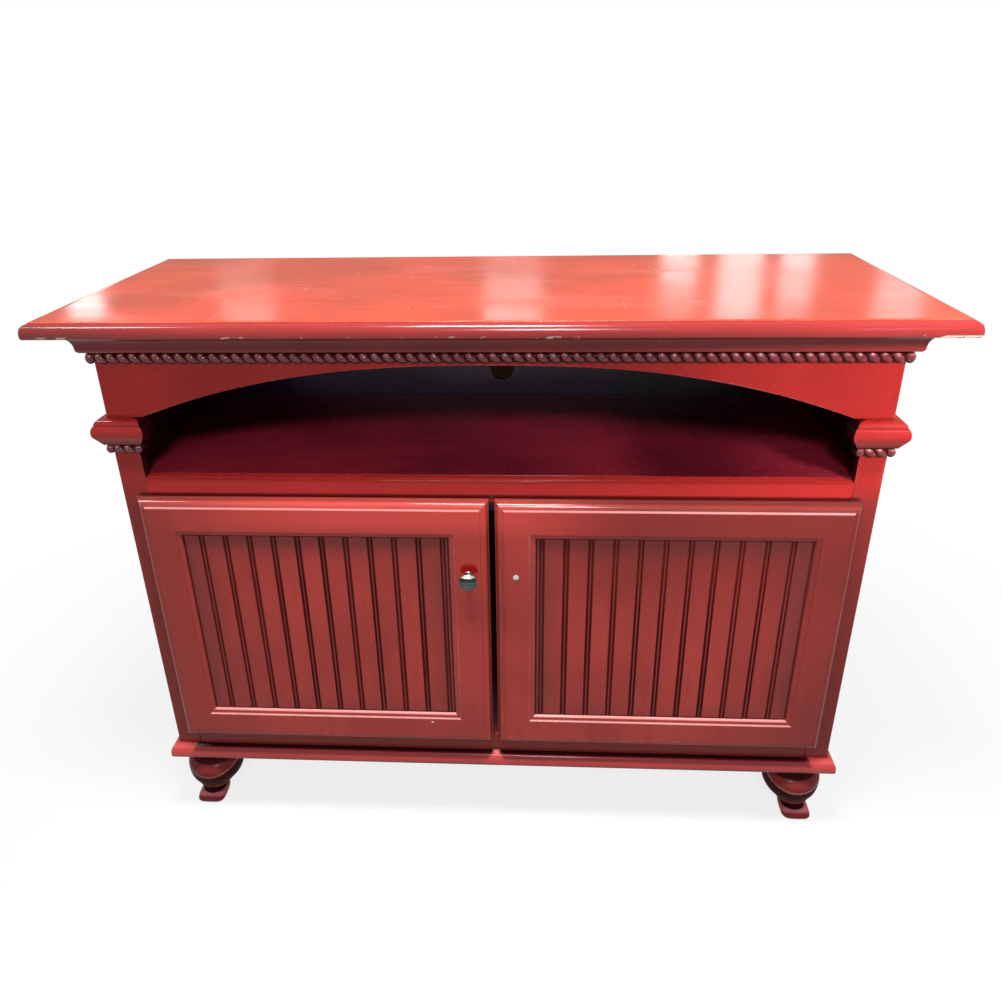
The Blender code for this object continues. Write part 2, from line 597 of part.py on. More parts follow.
def hinges(name, side, axis):
    """An upper and a lower butt hinge for one door, with fixed pins."""
    frame_y = (Y_FACE - GAP - LEAF_THICKNESS, Y_FACE - GAP)
    door_y = (Y_DOOR + GAP, Y_DOOR + GAP + LEAF_THICKNESS)
    lower = DOOR_BOTTOM + HINGE_FROM_END
    upper = DOOR_TOP - HINGE_FROM_END - HINGE_LENGTH
    for place, start in (("lower", lower), ("upper", upper)):
        z = (start, start + HINGE_LENGTH)
        label = "{}_{}_hinge".format(name, place)
        leaf(label + "_frame_leaf", side, frame_y, z, False, "brass", None)
        leaf(label + "_door_leaf", side, door_y, z, True, "brass", axis)
        profile = ((PIN_RADIUS, 0.0), (PIN_RADIUS, HINGE_LENGTH))
        turned(label + "_pin", (side * X_AXIS, Y_AXIS, start), (0, 0, 1), profile, "brass", sides=PIN_SIDES)


# Knob, screws and catch

def screw(name, x, way, length, axis):
    """A machine screw through a meeting stile; its way is -1 to the front, with the head behind the door."""
    seat = Y_DOOR + GAP if way < 0 else Y_DOOR_FACE - GAP
    head = seat - way * SCREW_HEAD_HEIGHT
    reach = SCREW_HEAD_HEIGHT + GAP + DOOR_THICKNESS + length
    profile = ((SCREW_HEAD_RADIUS, 0.0), (SCREW_HEAD_RADIUS, SCREW_HEAD_HEIGHT))
    profile += ((SCREW_RADIUS, SCREW_HEAD_HEIGHT), (SCREW_RADIUS, reach))
    turned(name, (x, head, KNOB_Z), (0, way, 0), profile, "steel", axis)


def knob(axis):
    """A turned knob on a small rose, bored for its screw."""
    x = -(DOOR_INNER + KNOB_FROM_EDGE)
    bore = SCREW_RADIUS + GAP
    depth = SCREW_OUT + GAP
    stem_end = KNOB_ROSE_LENGTH + KNOB_STEM_LENGTH
    rim = stem_end + KNOB_CUP_LENGTH
    cup = arc((KNOB_STEM_RADIUS, rim), (KNOB_RADIUS - KNOB_STEM_RADIUS, KNOB_CUP_LENGTH), -90, 0, 4)
    dome = arc((0.0, rim), (KNOB_RADIUS, KNOB_DOME_LENGTH), 0, 84)[1:]
    rose = [(KNOB_ROSE_RADIUS, 0.0), (KNOB_STEM_RADIUS, KNOB_ROSE_LENGTH)]
    profile = [(bore, depth), (bore, 0.0)] + rose + cup + dome
    turned("knob", (x, Y_DOOR_FACE - GAP, KNOB_Z), (0, -1, 0), profile, "pewter", axis)


def catch():
    """A double magnetic catch under the shelf rail."""
    y = (Y_FACE, Y_FACE + CATCH_DEPTH)
    z = (Z_RAIL - GAP - CATCH_HEIGHT, Z_RAIL - GAP)
    box("magnetic_catch", (-CATCH_WIDTH / 2, CATCH_WIDTH / 2), y, z, "black_plastic")


def strike(name, side, axis):
    """A steel plate on the back of a door, opposite the catch."""
    near = DOOR_INNER + STRIKE_FROM_EDGE
    x = sorted((side * near, side * (near + STRIKE_WIDTH)))
    middle = Z_RAIL - GAP - CATCH_HEIGHT / 2
    z = (middle - STRIKE_HEIGHT / 2, middle + STRIKE_HEIGHT / 2)
    box(name + "_strike_plate", x, (Y_DOOR + GAP, Y_DOOR + GAP + STRIKE_THICKNESS), z, "steel", axis)


def doors():
    """Both doors, each hung on an empty that stands on its hinge axis."""
    for name, side in (("left_door", -1), ("right_door", 1)):
        axis = bpy.data.objects.new(name + "_axis", None)
        axis.location = (side * X_AXIS, Y_AXIS, DOOR_BOTTOM)
        bpy.context.scene.collection.objects.link(axis)
        meeting = door_frame(name, side, axis)
        x = side * (DOOR_INNER + KNOB_FROM_EDGE)
        front, behind = Y_DOOR_FACE - DOOR_THICKNESS, Y_DOOR + DOOR_THICKNESS
        drill(meeting, (x, front, KNOB_Z), (x, behind, KNOB_Z), SCREW_RADIUS + GAP)
        bead_panel(name, side, axis)
        hinges(name, side, axis)
        strike(name, side, axis)
        if side < 0:
            screw("knob_screw", x, -1, SCREW_OUT, axis)
            knob(axis)
        else:
            screw("bare_knob_screw", x, 1, BARE_SCREW_BEHIND, axis)


def main():
    for old in list(bpy.data.objects):
        bpy.data.objects.remove(old)
    face_frame()
    boards()
    top_slab()
    wrap("rope", rope_section(ROPE_HEIGHT - GAP, ROPE_OUT), Z_ROPE)
    wrap("cornice", cornice_section(), Z_CORNICE)
    wrap("base_moulding", base_section(), Z_CASE)
    capitals()
    feet()
    catch()
    doors()


main()
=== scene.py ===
"""Dresses a red painted media console: pieces, finishes and a plain studio."""

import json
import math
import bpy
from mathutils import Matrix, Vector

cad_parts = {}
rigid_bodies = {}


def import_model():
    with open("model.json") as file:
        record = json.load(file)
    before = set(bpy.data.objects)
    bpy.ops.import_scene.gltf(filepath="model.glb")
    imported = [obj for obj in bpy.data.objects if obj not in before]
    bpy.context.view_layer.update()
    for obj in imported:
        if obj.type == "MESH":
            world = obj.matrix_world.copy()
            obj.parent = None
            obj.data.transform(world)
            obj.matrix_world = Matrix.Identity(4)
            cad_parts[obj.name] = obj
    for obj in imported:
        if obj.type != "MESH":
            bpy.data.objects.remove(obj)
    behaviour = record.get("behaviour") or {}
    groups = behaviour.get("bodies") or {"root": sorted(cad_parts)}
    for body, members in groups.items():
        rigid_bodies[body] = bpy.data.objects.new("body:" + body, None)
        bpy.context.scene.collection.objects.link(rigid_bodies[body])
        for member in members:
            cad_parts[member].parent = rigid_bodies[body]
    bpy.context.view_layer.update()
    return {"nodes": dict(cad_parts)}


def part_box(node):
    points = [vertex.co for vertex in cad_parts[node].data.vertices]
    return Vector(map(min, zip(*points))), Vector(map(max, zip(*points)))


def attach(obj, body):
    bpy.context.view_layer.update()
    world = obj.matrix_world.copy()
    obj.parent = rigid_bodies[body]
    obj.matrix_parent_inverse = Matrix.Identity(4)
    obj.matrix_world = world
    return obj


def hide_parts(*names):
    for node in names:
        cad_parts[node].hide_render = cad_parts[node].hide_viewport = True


bl_info = {
    "name": "Red Media Console",
    "version": (1, 0, 0),
    "blender": (4, 5, 0),
    "location": "View3D > Sidebar > Console",
    "description": "Builds the mouldings, doors, feet and finishes of a painted media console",
    "category": "Object",
}

import bmesh
import bpy
from mathutils import Matrix, Vector

for leftover in list(bpy.data.objects):
    bpy.data.objects.remove(leftover)
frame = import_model()


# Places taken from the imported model

def low(node):
    """Lowest corner of a node."""
    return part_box(node)[0]


def high(node):
    """Highest corner of a node."""
    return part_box(node)[1]


GAP = 0.0003
HALF_BODY = high("right_stile").x
HALF_BAY = low("right_stile").x
HALF_INSIDE = low("right_side").x
Y_FACE = low("right_stile").y
Y_FRAME_BACK = high("right_stile").y
Y_BACK = high("right_side").y
Z_CASE = low("right_stile").z
Z_SHELF = high("shelf_rail").z
Z_SPRING = low("arched_apron").z
Z_TOP = low("top_slab").z
Z_ROPE = low("rope_front").z
Z_CORNICE = low("cornice_front").z
Z_CAPITAL = low("capital_left").z
Z_NECK_ROPE = low("capital_rope_left").z
Y_DOOR = high("left_door_meeting_stile").y
DOOR_INNER = low("right_door_meeting_stile").x
DOOR_OUTER = high("right_door_hinge_stile").x
DOOR_BOTTOM = low("right_door_bottom_rail").z
DOOR_TOP = high("right_door_top_rail").z
KNOB_X = (low("knob").x + high("knob").x) / 2
KNOB_Z = (low("knob").z + high("knob").z) / 2
HOLE_Z = low("media_shelf").z + 0.0785
HOLE_RADIUS = 0.0254
SIDES = (("left", -1), ("right", 1))


# Settings shared by several finishes: stretch of the brush marks, part of the shine that lies in the clear
# coat, depth of the relief in metres, and the painted light that makes the base paler than the other
# mouldings

BRUSHED_ACROSS = (0.30, 3.0, 3.0)
BRUSHED_UP = (3.0, 3.0, 0.30)
COAT_SHARE = 0.75
LACQUER_RELIEF = 0.00022
TOP_RELIEF = 0.00016
BASE_PAINTED_LIGHT = (1.8, 2.3, 2.5)


# Stage tables: ceiling lamps as (name, place along x, width, share of the power), mirrored panes as (middle,
# width, bottom, top, share of the brightness), and the wall behind them as (left, right, bottom, top)

CEILING_LAMPS = (("left", -1.65, 0.35, 0.16), ("middle", -0.10, 0.60, 0.50), ("right", 1.50, 0.55, 0.34))
PANES_Y = 4.0
PANES = ((-2.95, 0.24, 1.6, 2.2, 1.0), (-1.85, 0.34, 2.02, 2.14, 1.0), (-0.10, 0.36, 1.96, 2.12, 1.25),
         (0.95, 0.22, 1.5, 1.86, 0.85), (1.33, 0.26, 1.5, 2.2, 0.7), (1.68, 0.20, 1.5, 1.95, 0.75),
         (2.34, 0.30, 1.7, 2.3, 0.5))
WALL_Y = 4.2
WALL = (-7.0, 7.0, 0.9, 6.0)


# Camera as fitted to the case: lens in millimetres, shift, place and turns in degrees

LENS = 30.394
SENSOR = 36.0
SHIFT = (0.010487, -0.003842)
CAMERA_PLACE = (0.0802, -1.4836, 1.3384)
CAMERA_TURNS = ((3.6671, "Z"), (-25.6284, "X"), (1.122, "Y"))


# Sizes, colours, wear and lights that a user would change

def length(label, note, default):
    """A length in metres."""
    return bpy.props.FloatProperty(name=label, description=note, default=default, unit="LENGTH", precision=4)


def share(label, note, default):
    """A part of a whole, from 0 to 1."""
    return bpy.props.FloatProperty(name=label, description=note, default=default, min=0.0, max=1.0,
                                   subtype="FACTOR")


def power(label, note, default):
    """The power of a lamp in watts."""
    return bpy.props.FloatProperty(name=label, description=note, default=default, min=0.0, unit="POWER")


def tone(label, note, default):
    """A colour."""
    return bpy.props.FloatVectorProperty(name=label, description=note, default=default, size=3,
                                         subtype="COLOR", min=0.0, max=1.0)


class ConsoleTopSizes(bpy.types.PropertyGroup):
    """Sizes of the top."""

    ease: length("Lower easing", "Radius of the lower edge of the top", 0.004)
    band: length("Band", "Upright band over the lower easing", 0.003)
    thumb_height: length("Thumbnail height", "Rise of the rounded edge", 0.0155)
    thumb_width: length("Thumbnail width", "Depth of the rounded edge", 0.0125)
    corner: length("Corner", "Radius of the two front corners", 0.005)


class ConsoleMouldingSizes(bpy.types.PropertyGroup):
    """Sizes of the cornice, ropes, base moulding and capitals."""

    twist_pitch: length("Twist pitch", "Distance from one rope twist to the next", 0.0185)
    twist_lean: length("Twist lean", "Sideways lean of one twist from bottom to top", 0.0125)
    roll_height: length("Cornice roll height", "Height of the roll under the cove", 0.0075)
    roll_out: length("Cornice roll reach", "How far the roll stands out past the rope", 0.0065)
    cove_height: length("Cove height", "Rise of the cornice cove", 0.0215)
    cove_out: length("Cove reach", "How far the cornice cove sweeps out", 0.0170)
    fillet_out: length("Cornice fillet", "Step of the fillet over the cove", 0.002)
    ledge: length("Base ledge", "Depth of the sloping ledge on the base", 0.009)
    round_height: length("Base nose height", "Height of the rounded nose under the ledge", 0.0175)
    under_height: length("Base turn height", "Height over which the nose turns back under", 0.0075)
    under_out: length("Base turn reach", "How far the nose turns back under", 0.0035)
    bell_foot: length("Capital foot", "Reach of the foot of the capital", 0.0095)
    flare: length("Capital flare", "Height of the flare up to the swelling band", 0.0170)
    swell_out: length("Band swell", "Reach of the ellipse of the swelling band", 0.008)
    swell_height: length("Band swell height", "Half height of the ellipse of the band", 0.0134)
    quirk: length("Capital quirk", "Step back from the band to the cap", 0.001)
    cap_out: length("Cap reach", "Reach of the cap at its top", 0.0068)
    capital_return: length("Capital return", "Length of the capital along the side", 0.045)


class ConsoleCaseSizes(bpy.types.PropertyGroup):
    """Sizes of the boards of the case and of the arch."""

    arris: length("Arris", "Rounding of the board edges", 0.0012)
    rub: length("Rubbed band", "Width of the worn band beside an edge", 0.0040)
    arch_rise: length("Arch rise", "Rise of the arch in the apron", 0.087)
    arch_power: bpy.props.FloatProperty(name="Arch power", description="Flatness of the arch crown",
                                        default=2.5)
    arch_shoulder: length("Arch shoulder", "Level part of the apron inside each stile", 0.0175)


class ConsoleFootSizes(bpy.types.PropertyGroup):
    """Sizes of the feet."""

    pad_width: length("Pad width", "Width of the pad", 0.057)
    pad_depth: length("Pad depth", "Depth of the pad", 0.047)
    pad_height: length("Pad height", "Height of the pad", 0.026)
    pad_corner: share("Pad corner", "1 is an oval pad, 0 has square corners", 0.4)
    splay_out: length("Splay", "Sweep of a foot to its side", 0.021)
    splay_along: length("Splay along", "Sweep of a foot to the front or the back", 0.0125)
    neck: length("Neck", "Radius of the neck", 0.0205)
    ring: length("Ring", "Radius of the thin ring", 0.034)
    bun: length("Bun", "Largest radius of the bun", 0.056)
    bun_round: length("Bun round", "How far the sides of the bun swell", 0.034)
    bun_depth: length("Bun depth", "Depth of the lower part of the bun", 0.049)
    bun_level: length("Bun level", "Height of the widest part of the bun", 0.102)
    plate: length("Plate", "Radius where the foot meets the case", 0.040)
    plate_level: length("Plate level", "Height where the foot stands straight", 0.1285)
    tenon: length("Tenon", "Radius of the tenon in the case", 0.0105)


class ConsoleDoorSizes(bpy.types.PropertyGroup):
    """Sizes of the doors and their panels."""

    frame: length("Frame width", "Width of the frame up to its sticking", 0.0605)
    thickness: length("Thickness", "Thickness of the door", 0.018)
    edge: length("Edge band", "Width of the moulded outer edge", 0.015)
    lip: length("Lip", "Thickness of the outer lip", 0.0055)
    shoulder: length("Shoulder", "Ledge outside the ovolo", 0.0025)
    fillet: length("Fillet", "Ledge between the ovolo and the face", 0.0025)
    step: length("Step", "Height of the face over the ledge", 0.0025)
    stick: length("Sticking", "Width of the sticking round the panel", 0.011)
    stick_step: length("Sticking step", "Step at the top of the sticking", 0.0018)
    panel_back: length("Panel lip", "Frame thickness behind the panel", 0.003)
    panel: length("Panel", "Thickness of the panel", 0.006)
    groove: length("Groove", "Depth of the panel groove", 0.008)
    bead_pitch: length("Bead pitch", "Distance from one bead to the next", 0.0422)
    bead_margin: length("Bead margin", "Distance from the sticking to the first bead", 0.0085)
    bead: length("Bead", "Half the distance between the quirks of a bead", 0.0034)
    quirk: length("Quirk", "Half the width of a quirk", 0.0009)
    quirk_depth: length("Quirk depth", "Depth of a quirk", 0.002)
    rebate: length("Hinge rebate", "Depth of the rebate for the hinge knuckles, and room beside them", 0.0042)


class ConsoleColours(bpy.types.PropertyGroup):
    """Colours of the finishes and the stage."""

    top: tone("Top red", "Lacquer of the top", (0.520, 0.054, 0.025))
    edge: tone("Edge red", "Lacquer of the edge of the top", (0.275, 0.017, 0.017))
    case: tone("Case red", "Lacquer of the case and its apron", (0.420, 0.020, 0.017))
    door: tone("Door red", "Lacquer of the doors", (0.430, 0.043, 0.034))
    trim: tone("Moulding red", "Lacquer of the mouldings, ropes and feet", (0.420, 0.037, 0.033))
    deep: tone("Bay red", "Dark lacquer of the bay", (0.340, 0.020, 0.040))
    # The bluish tint of the back panel is a painted sheen
    back: tone("Back of the bay", "Near black back panel with a painted bluish sheen", (0.048, 0.030, 0.090))
    rope: tone("Rope red", "Lacquer of the twisted ropes", (0.190, 0.015, 0.024))
    # Painted shade: near black laid where shade falls inside the bay and the case, under the doors and at the
    # necks
    shade: tone("Painted shade red", "Near black painted shade inside the bay and case, under the doors and at the necks", (0.016, 0.003, 0.005))
    # Soiling and painted shade low on the case
    grime_and_shade: tone("Grime and shade", "Dirt and painted shade low on the case", (0.070, 0.026, 0.022))
    # Dark glazing in the hollows, also laid as painted shade on the parts tagged as shaded
    glaze: tone("Glaze and shade", "Dark glaze left in the hollows", (0.030, 0.005, 0.006))
    # These two colours also paint the highlights and glints that high wear tags stand for
    rubbed_and_highlight: tone("Rubbed paint and highlight", "Paint rubbed thin at the arrises", (0.560, 0.230, 0.205))
    chipped_and_highlight: tone("Chipped paint and glint", "Pale ground under chips, also laid as painted glints", (0.800, 0.680, 0.560))
    board: tone("Brown board", "Bare board inside the case", (0.080, 0.028, 0.024))
    # Painted shadow of the doors on the base nose, and painted light through the gap between them
    nose: tone("Nose shadow", "Painted shadow of the doors on the base nose", (0.100, 0.004, 0.008))
    glint: tone("Glint", "Painted light on the base under the gap between the doors", (0.800, 0.420, 0.420))
    # Painted highlight on the tops of the pads
    rim: tone("Pad rim", "Painted highlight round the top of the pads", (0.560, 0.130, 0.160))
    touched: tone("Touched-up red", "Fresh red over the knob", (0.330, 0.003, 0.006))
    # Painted highlight lines of the doors
    line: tone("Pale line", "Painted highlight lines on the sills and top edges of the doors", (0.800, 0.330, 0.320))
    # Soiling and painted shade round the panels
    dirt_and_shade: tone("Panel dirt", "Dirt and painted shade round the rim of the door panels", (0.085, 0.026, 0.022))
    # Painted bluish light on the back of the bay
    haze: tone("Haze", "Painted bluish light on the back of the bay", (0.160, 0.160, 0.280))
    pewter: tone("Pewter", "Metal of the knob", (0.075, 0.092, 0.092))
    pewter_tarnish: tone("Pewter tarnish", "Dull patches of the knob", (0.040, 0.050, 0.052))
    # Painted reflections of the knob
    crown: tone("Knob reflection", "Painted reflection on the upper part of the knob", (0.800, 0.820, 0.800))
    dark_reflection: tone("Knob waist", "Painted dark reflection under the bright part of the knob", (0.006, 0.010, 0.010))
    steel: tone("Steel", "Metal of the screws and strikes", (0.620, 0.610, 0.590))
    steel_tarnish: tone("Steel tarnish", "Dull patches of the screws and strikes", (0.300, 0.290, 0.280))
    brass: tone("Brass", "Metal of the hinges", (0.600, 0.430, 0.180))
    brass_tarnish: tone("Brass tarnish", "Dull patches of the hinges", (0.230, 0.140, 0.060))
    polish: tone("Polish", "Bright rims that handling polishes", (1.000, 1.000, 0.980))
    plastic: tone("Catch plastic", "Plastic of the magnetic catch", (0.004, 0.004, 0.004))
    bloom: tone("Plastic bloom", "Pale bloom on the plastic", (0.200, 0.200, 0.200))
    floor: tone("Floor", "Studio floor", (0.820, 0.820, 0.820))
    # Painted shade in the cable hole
    film: tone("Film", "Dark sheet in the cable hole, a painted shade", (0.009, 0.005, 0.003))
    mirrored_wall: tone("Mirrored wall", "Warm wall that the top mirrors", (1.000, 0.900, 0.740))
    mirrored_pane: tone("Mirrored pane", "Bright panes that the top mirrors", (1.000, 0.980, 0.960))


class ConsoleWear(bpy.types.PropertyGroup):
    """Strengths of wear, soiling, painted shade and painted light in the finishes."""

    streaks: share("Streaks", "Strength of the dark brush streaks", 0.34)
    flecks: share("Flecks", "Strength of the pale flecks", 0.16)
    # Strength of the glazing and of the painted shade laid from the point tags
    glaze: share("Glaze and shade", "Strength of the dark glaze in the hollows", 0.94)
    # These strengths also set the painted highlights and glints of high wear tags
    rubbing_and_highlight: share("Rubbing and highlight", "Strength of the rubbed arrises", 0.60)
    chips: share("Chips and glints", "Strength of the chips, and of painted glints, on the arrises", 0.75)
    # Strengths of painted shade inside the case and of the painted shadow over the doors
    inside: share("Inside", "Darkness of the inside faces of the case", 0.95)
    # Strengths of painted shade on the returns and the base, and of painted light through the door gap
    returns: share("Returns", "Darkness of the capitals and ropes inside the bay", 0.92)
    ledge: share("Ledge", "Darkness of the base ledge under the doors", 0.92)
    nose: share("Nose", "Depth of the painted shadow of the doors on the base nose", 0.75)
    glint: share("Glint", "Strength of the painted light under the door gap", 0.40)
    heel: share("Heel", "Darkness of the line at the foot of the base", 0.85)
    # Strengths of the painted highlight on the pads and the painted shade at the necks
    pad: share("Pad rim", "Strength of the painted highlight round the pads", 0.80)
    neck: share("Neck", "Darkness of the necks of the feet", 0.90)
    strip: share("Strip", "Darkness of the strip over the doors", 0.90)
    scuffs: share("Scuffs", "Strength of the scuffs on the top", 0.16)
    scratches: share("Scratches", "Strength of the scratches on the top", 0.30)
    edge_chips: share("Edge chips", "Strength of the chips along the lower edge of the top", 0.90)
    touch_up: share("Touch-up", "Strength of the red arc over the knob", 0.92)
    nick: share("Nick", "Strength of the pale nick on the left door", 0.90)
    # Strength of the painted highlight lines of the doors
    lines: share("Pale lines", "Strength of the rubbed lines on the doors", 0.75)
    # Strength of the soiling and painted shade round the panels
    dirt_and_shade: share("Panel dirt", "Strength of the dirt round the panels", 0.42)
    joint: share("Panel joint", "Darkness of the joint beside the panels", 0.90)
    tint: share("Tint", "How much the boards of a panel differ", 0.30)
    # Strengths of the painted shadow band and the painted bluish light of the bay
    dim: share("Dim band", "Darkness of the band across the right of the bay", 0.72)
    haze: share("Haze", "Strength of the painted bluish light on the back of the bay", 0.80)


class ConsoleStageSettings(bpy.types.PropertyGroup):
    """Strengths of the lights."""

    ceiling: power("Ceiling", "Power of the lamps over the front", 92.0)
    key: power("Key", "Power of the front lamp", 50.0)
    side: power("Side", "Power of the narrow lamp on the right stile", 0.80)
    panes: bpy.props.FloatProperty(name="Panes", description="Brightness of the panes that the top mirrors",
                                   default=3.6, min=0.0)
    wall: share("Wall", "Level of the wall that the top mirrors", 0.36)
    world: share("World", "Level of the even light from all round", 0.20)


# Finishes: shader maths written as expressions

class Wire:
    """A value socket that takes part in Python arithmetic."""

    def __init__(self, graph, socket):
        self.graph = graph
        self.socket = socket

    def _math(self, operation, first, second):
        return self.graph.node("ShaderNodeMath", {"operation": operation}, first, second)

    def __add__(self, other):
        return self._math("ADD", self, other)

    __radd__ = __add__

    def __sub__(self, other):
        return self._math("SUBTRACT", self, other)

    def __rsub__(self, other):
        return self._math("SUBTRACT", other, self)

    def __mul__(self, other):
        return self._math("MULTIPLY", self, other)

    __rmul__ = __mul__

    def __truediv__(self, other):
        return self._math("DIVIDE", self, other)

    def __rtruediv__(self, other):
        return self._math("DIVIDE", other, self)

    def __pow__(self, other):
        return self._math("POWER", self, other)

    def __abs__(self):
        return self._math("ABSOLUTE", self, 0.0)

    def most(self, other):
        """The larger of two values."""
        return self._math("MAXIMUM", self, other)

    def least(self, other):
        """The smaller of two values."""
        return self._math("MINIMUM", self, other)


class Graph:
    """A shader's node tree, whose nodes are written as expressions."""

    def __init__(self, owner, shader):
        owner.use_nodes = True
        self.tree = owner.node_tree
        self.shader = self.tree.nodes[shader]

    def put(self, value, socket):
        """Link a wire to a socket, or set a number, vector or colour on it."""
        if isinstance(value, Wire):
            self.tree.links.new(value.socket, socket)
        elif hasattr(value, "__len__") and len(value) == 3 and len(socket.default_value) == 4:
            socket.default_value = (*value, 1.0)
        else:
            socket.default_value = value

    def node(self, kind, settings, *values, out=0, **named):
        """A node of a kind, with its settings, then its sockets in use by order or by name."""
        made = self.tree.nodes.new(kind)
        for key, value in settings.items():
            setattr(made, key, value)
        for socket, value in zip([each for each in made.inputs if each.enabled], values):
            self.put(value, socket)
        for key, value in named.items():
            self.put(value, made.inputs[key.replace("_", " ")])
        outputs = made.outputs if isinstance(out, str) else [each for each in made.outputs if each.enabled]
        return Wire(self, outputs[out])

    def shader_input(self, socket, value):
        """Feed one socket of the shader."""
        self.put(value, self.shader.inputs[socket])

    def seen(self):
        """1 for rays that show the stage, straight or mirrored, and 0 for rays that it lights."""
        rays = [self.node("ShaderNodeLightPath", {}, out=ray)
                for ray in ("Is Camera Ray", "Is Glossy Ray", "Is Transmission Ray")]
        return rays[0].most(rays[1]).most(rays[2])


class Paint(Graph):
    """A material whose finish is written in the coordinates of its piece."""

    def __init__(self, name):
        self.material = bpy.data.materials.new(name)
        super().__init__(self.material, "Principled BSDF")
        self.place = self.node("ShaderNodeTexCoord", {}, out="Object")
        parts = self.node("ShaderNodeSeparateXYZ", {}, self.place).socket.node.outputs
        self.x, self.y, self.z = (Wire(self, part) for part in parts)

    def show(self, shader):
        """Show another shader in place of the Principled one."""
        self.put(shader, self.tree.nodes["Material Output"].inputs["Surface"])

    def attribute(self, name):
        """A value kept on the points of the piece."""
        return self.node("ShaderNodeAttribute", {"attribute_name": name}, out="Fac")

    def stretched(self, stretch, turn=(0.0, 0.0, 0.0)):
        """The place on the piece, turned and stretched."""
        return self.node("ShaderNodeMapping", {}, Vector=self.place, Rotation=turn, Scale=stretch)

    def noise(self, scale, detail=2.0, stretch=None, rough=0.5, turn=(0.0, 0.0, 0.0)):
        """Cloudy noise, from about 0.25 to 0.75."""
        place = self.stretched(stretch, turn) if stretch else self.place
        return self.node("ShaderNodeTexNoise", {}, Vector=place, Scale=scale, Detail=detail, Roughness=rough)

    def ramp(self, value, start, end):
        """A smooth step from 0 to 1 between two values."""
        return self.node("ShaderNodeMapRange", {"interpolation_type": "SMOOTHSTEP"}, value, start, end)

    def fall(self, value, start, end):
        """A smooth step from 1 to 0 between two values."""
        return 1.0 - self.ramp(value, start, end)

    def blend(self, factor, first, second):
        """One colour over another by a factor."""
        return self.node("ShaderNodeMix", {"data_type": "RGBA"}, factor, first, second)

    def over(self, factor, colour):
        """Lay a colour over the base colour by a factor."""
        self.base = self.blend(factor, self.base, colour)

    def bump(self, height, depth, strength):
        """Raise the surface by a height times a depth in metres."""
        normal = self.node("ShaderNodeBump", {}, Strength=strength, Distance=depth, Height=height)
        self.shader_input("Normal", normal)

    def near(self, x, z, radius_x, radius_z):
        """Distance from a place on the front, in ellipse radii."""
        return (((self.x - x) / radius_x) ** 2.0 + ((self.z - z) / radius_z) ** 2.0) ** 0.5


def mixed(first, second, part):
    """A colour between two colours."""
    return tuple(a + (b - a) * part for a, b in zip(first, second))


def dimmed(colour, part):
    """A colour made darker or lighter."""
    return tuple(min(channel * part, 1.0) for channel in colour)


def lacquer(name, colour, brushed, gloss, shine, rub_level=1.0, coat=COAT_SHARE):
    """A paint of brushed red lacquer: glazing and painted shade in its hollows, rub, chips and painted
    highlights on its arrises.
    """
    tones = bpy.context.scene.console_colours
    wear = bpy.context.scene.console_wear
    paint = Paint(name)
    cloud = paint.noise(5.0, 4.0)
    streak = paint.noise(14.0, 5.0, brushed, 0.6)
    fleck = paint.noise(170.0, 3.0)
    # Glazing in the hollows, and painted shade on the parts whose tags mark them as shaded
    grime_and_shade = paint.ramp(paint.attribute("glaze") + (cloud - 0.5) * 0.7, 0.30, 0.95)
    # Rub and chips on the arrises, and painted highlights and glints where the tags run high
    edge = paint.attribute("worn") * rub_level + (fleck - 0.5) * 0.9 + (cloud - 0.5) * 0.9
    rub = paint.ramp(edge, 0.45, 1.0)
    bare = paint.ramp(edge, 1.02, 1.16)
    paint.base = paint.blend(paint.ramp(cloud, 0.32, 0.68), dimmed(colour, 0.86), dimmed(colour, 1.10))
    paint.over(paint.ramp(streak, 0.50, 0.72) * wear.streaks, dimmed(colour, 0.55))
    paint.over(paint.ramp(fleck, 0.60, 0.74) * wear.flecks, mixed(colour, tones.rubbed_and_highlight, 0.45))
    paint.over(grime_and_shade * wear.glaze, tones.glaze)
    paint.over(rub * wear.rubbing_and_highlight, tones.rubbed_and_highlight)
    paint.over(bare * wear.chips, tones.chipped_and_highlight)
    paint.rough = gloss + (cloud - 0.5) * 0.16 + (streak - 0.5) * 0.10 + rub * 0.10 + grime_and_shade * 0.12
    paint.relief = paint.noise(420.0, 2.0) * 0.45 + streak * 0.55
    paint.coat = (1.0 - grime_and_shade) * shine * 2.0 * coat
    paint.shader_input("Specular IOR Level", shine * (1 - coat))
    paint.shader_input("Coat Roughness", gloss * 0.55)
    return paint


def lacquered(paint, depth=LACQUER_RELIEF):
    """Join the colour, gloss and relief of a lacquer to its shader."""
    paint.shader_input("Base Color", paint.base)
    paint.shader_input("Roughness", paint.rough)
    paint.shader_input("Coat Weight", paint.coat)
    paint.bump(paint.relief, depth, 0.35)
    return paint.material


def in_bay(paint):
    """1 on the returns of the capitals and neck ropes inside the bay, where painted shade goes, 0 elsewhere.
    """
    behind = (HALF_BAY - abs(paint.x)) - (Y_FACE - paint.y)
    above = paint.ramp(paint.z, Z_NECK_ROPE - 0.002, Z_NECK_ROPE)
    return paint.ramp(behind, 0.0, 0.0008) * (above - paint.ramp(paint.z, Z_SPRING, Z_SPRING + 0.001))


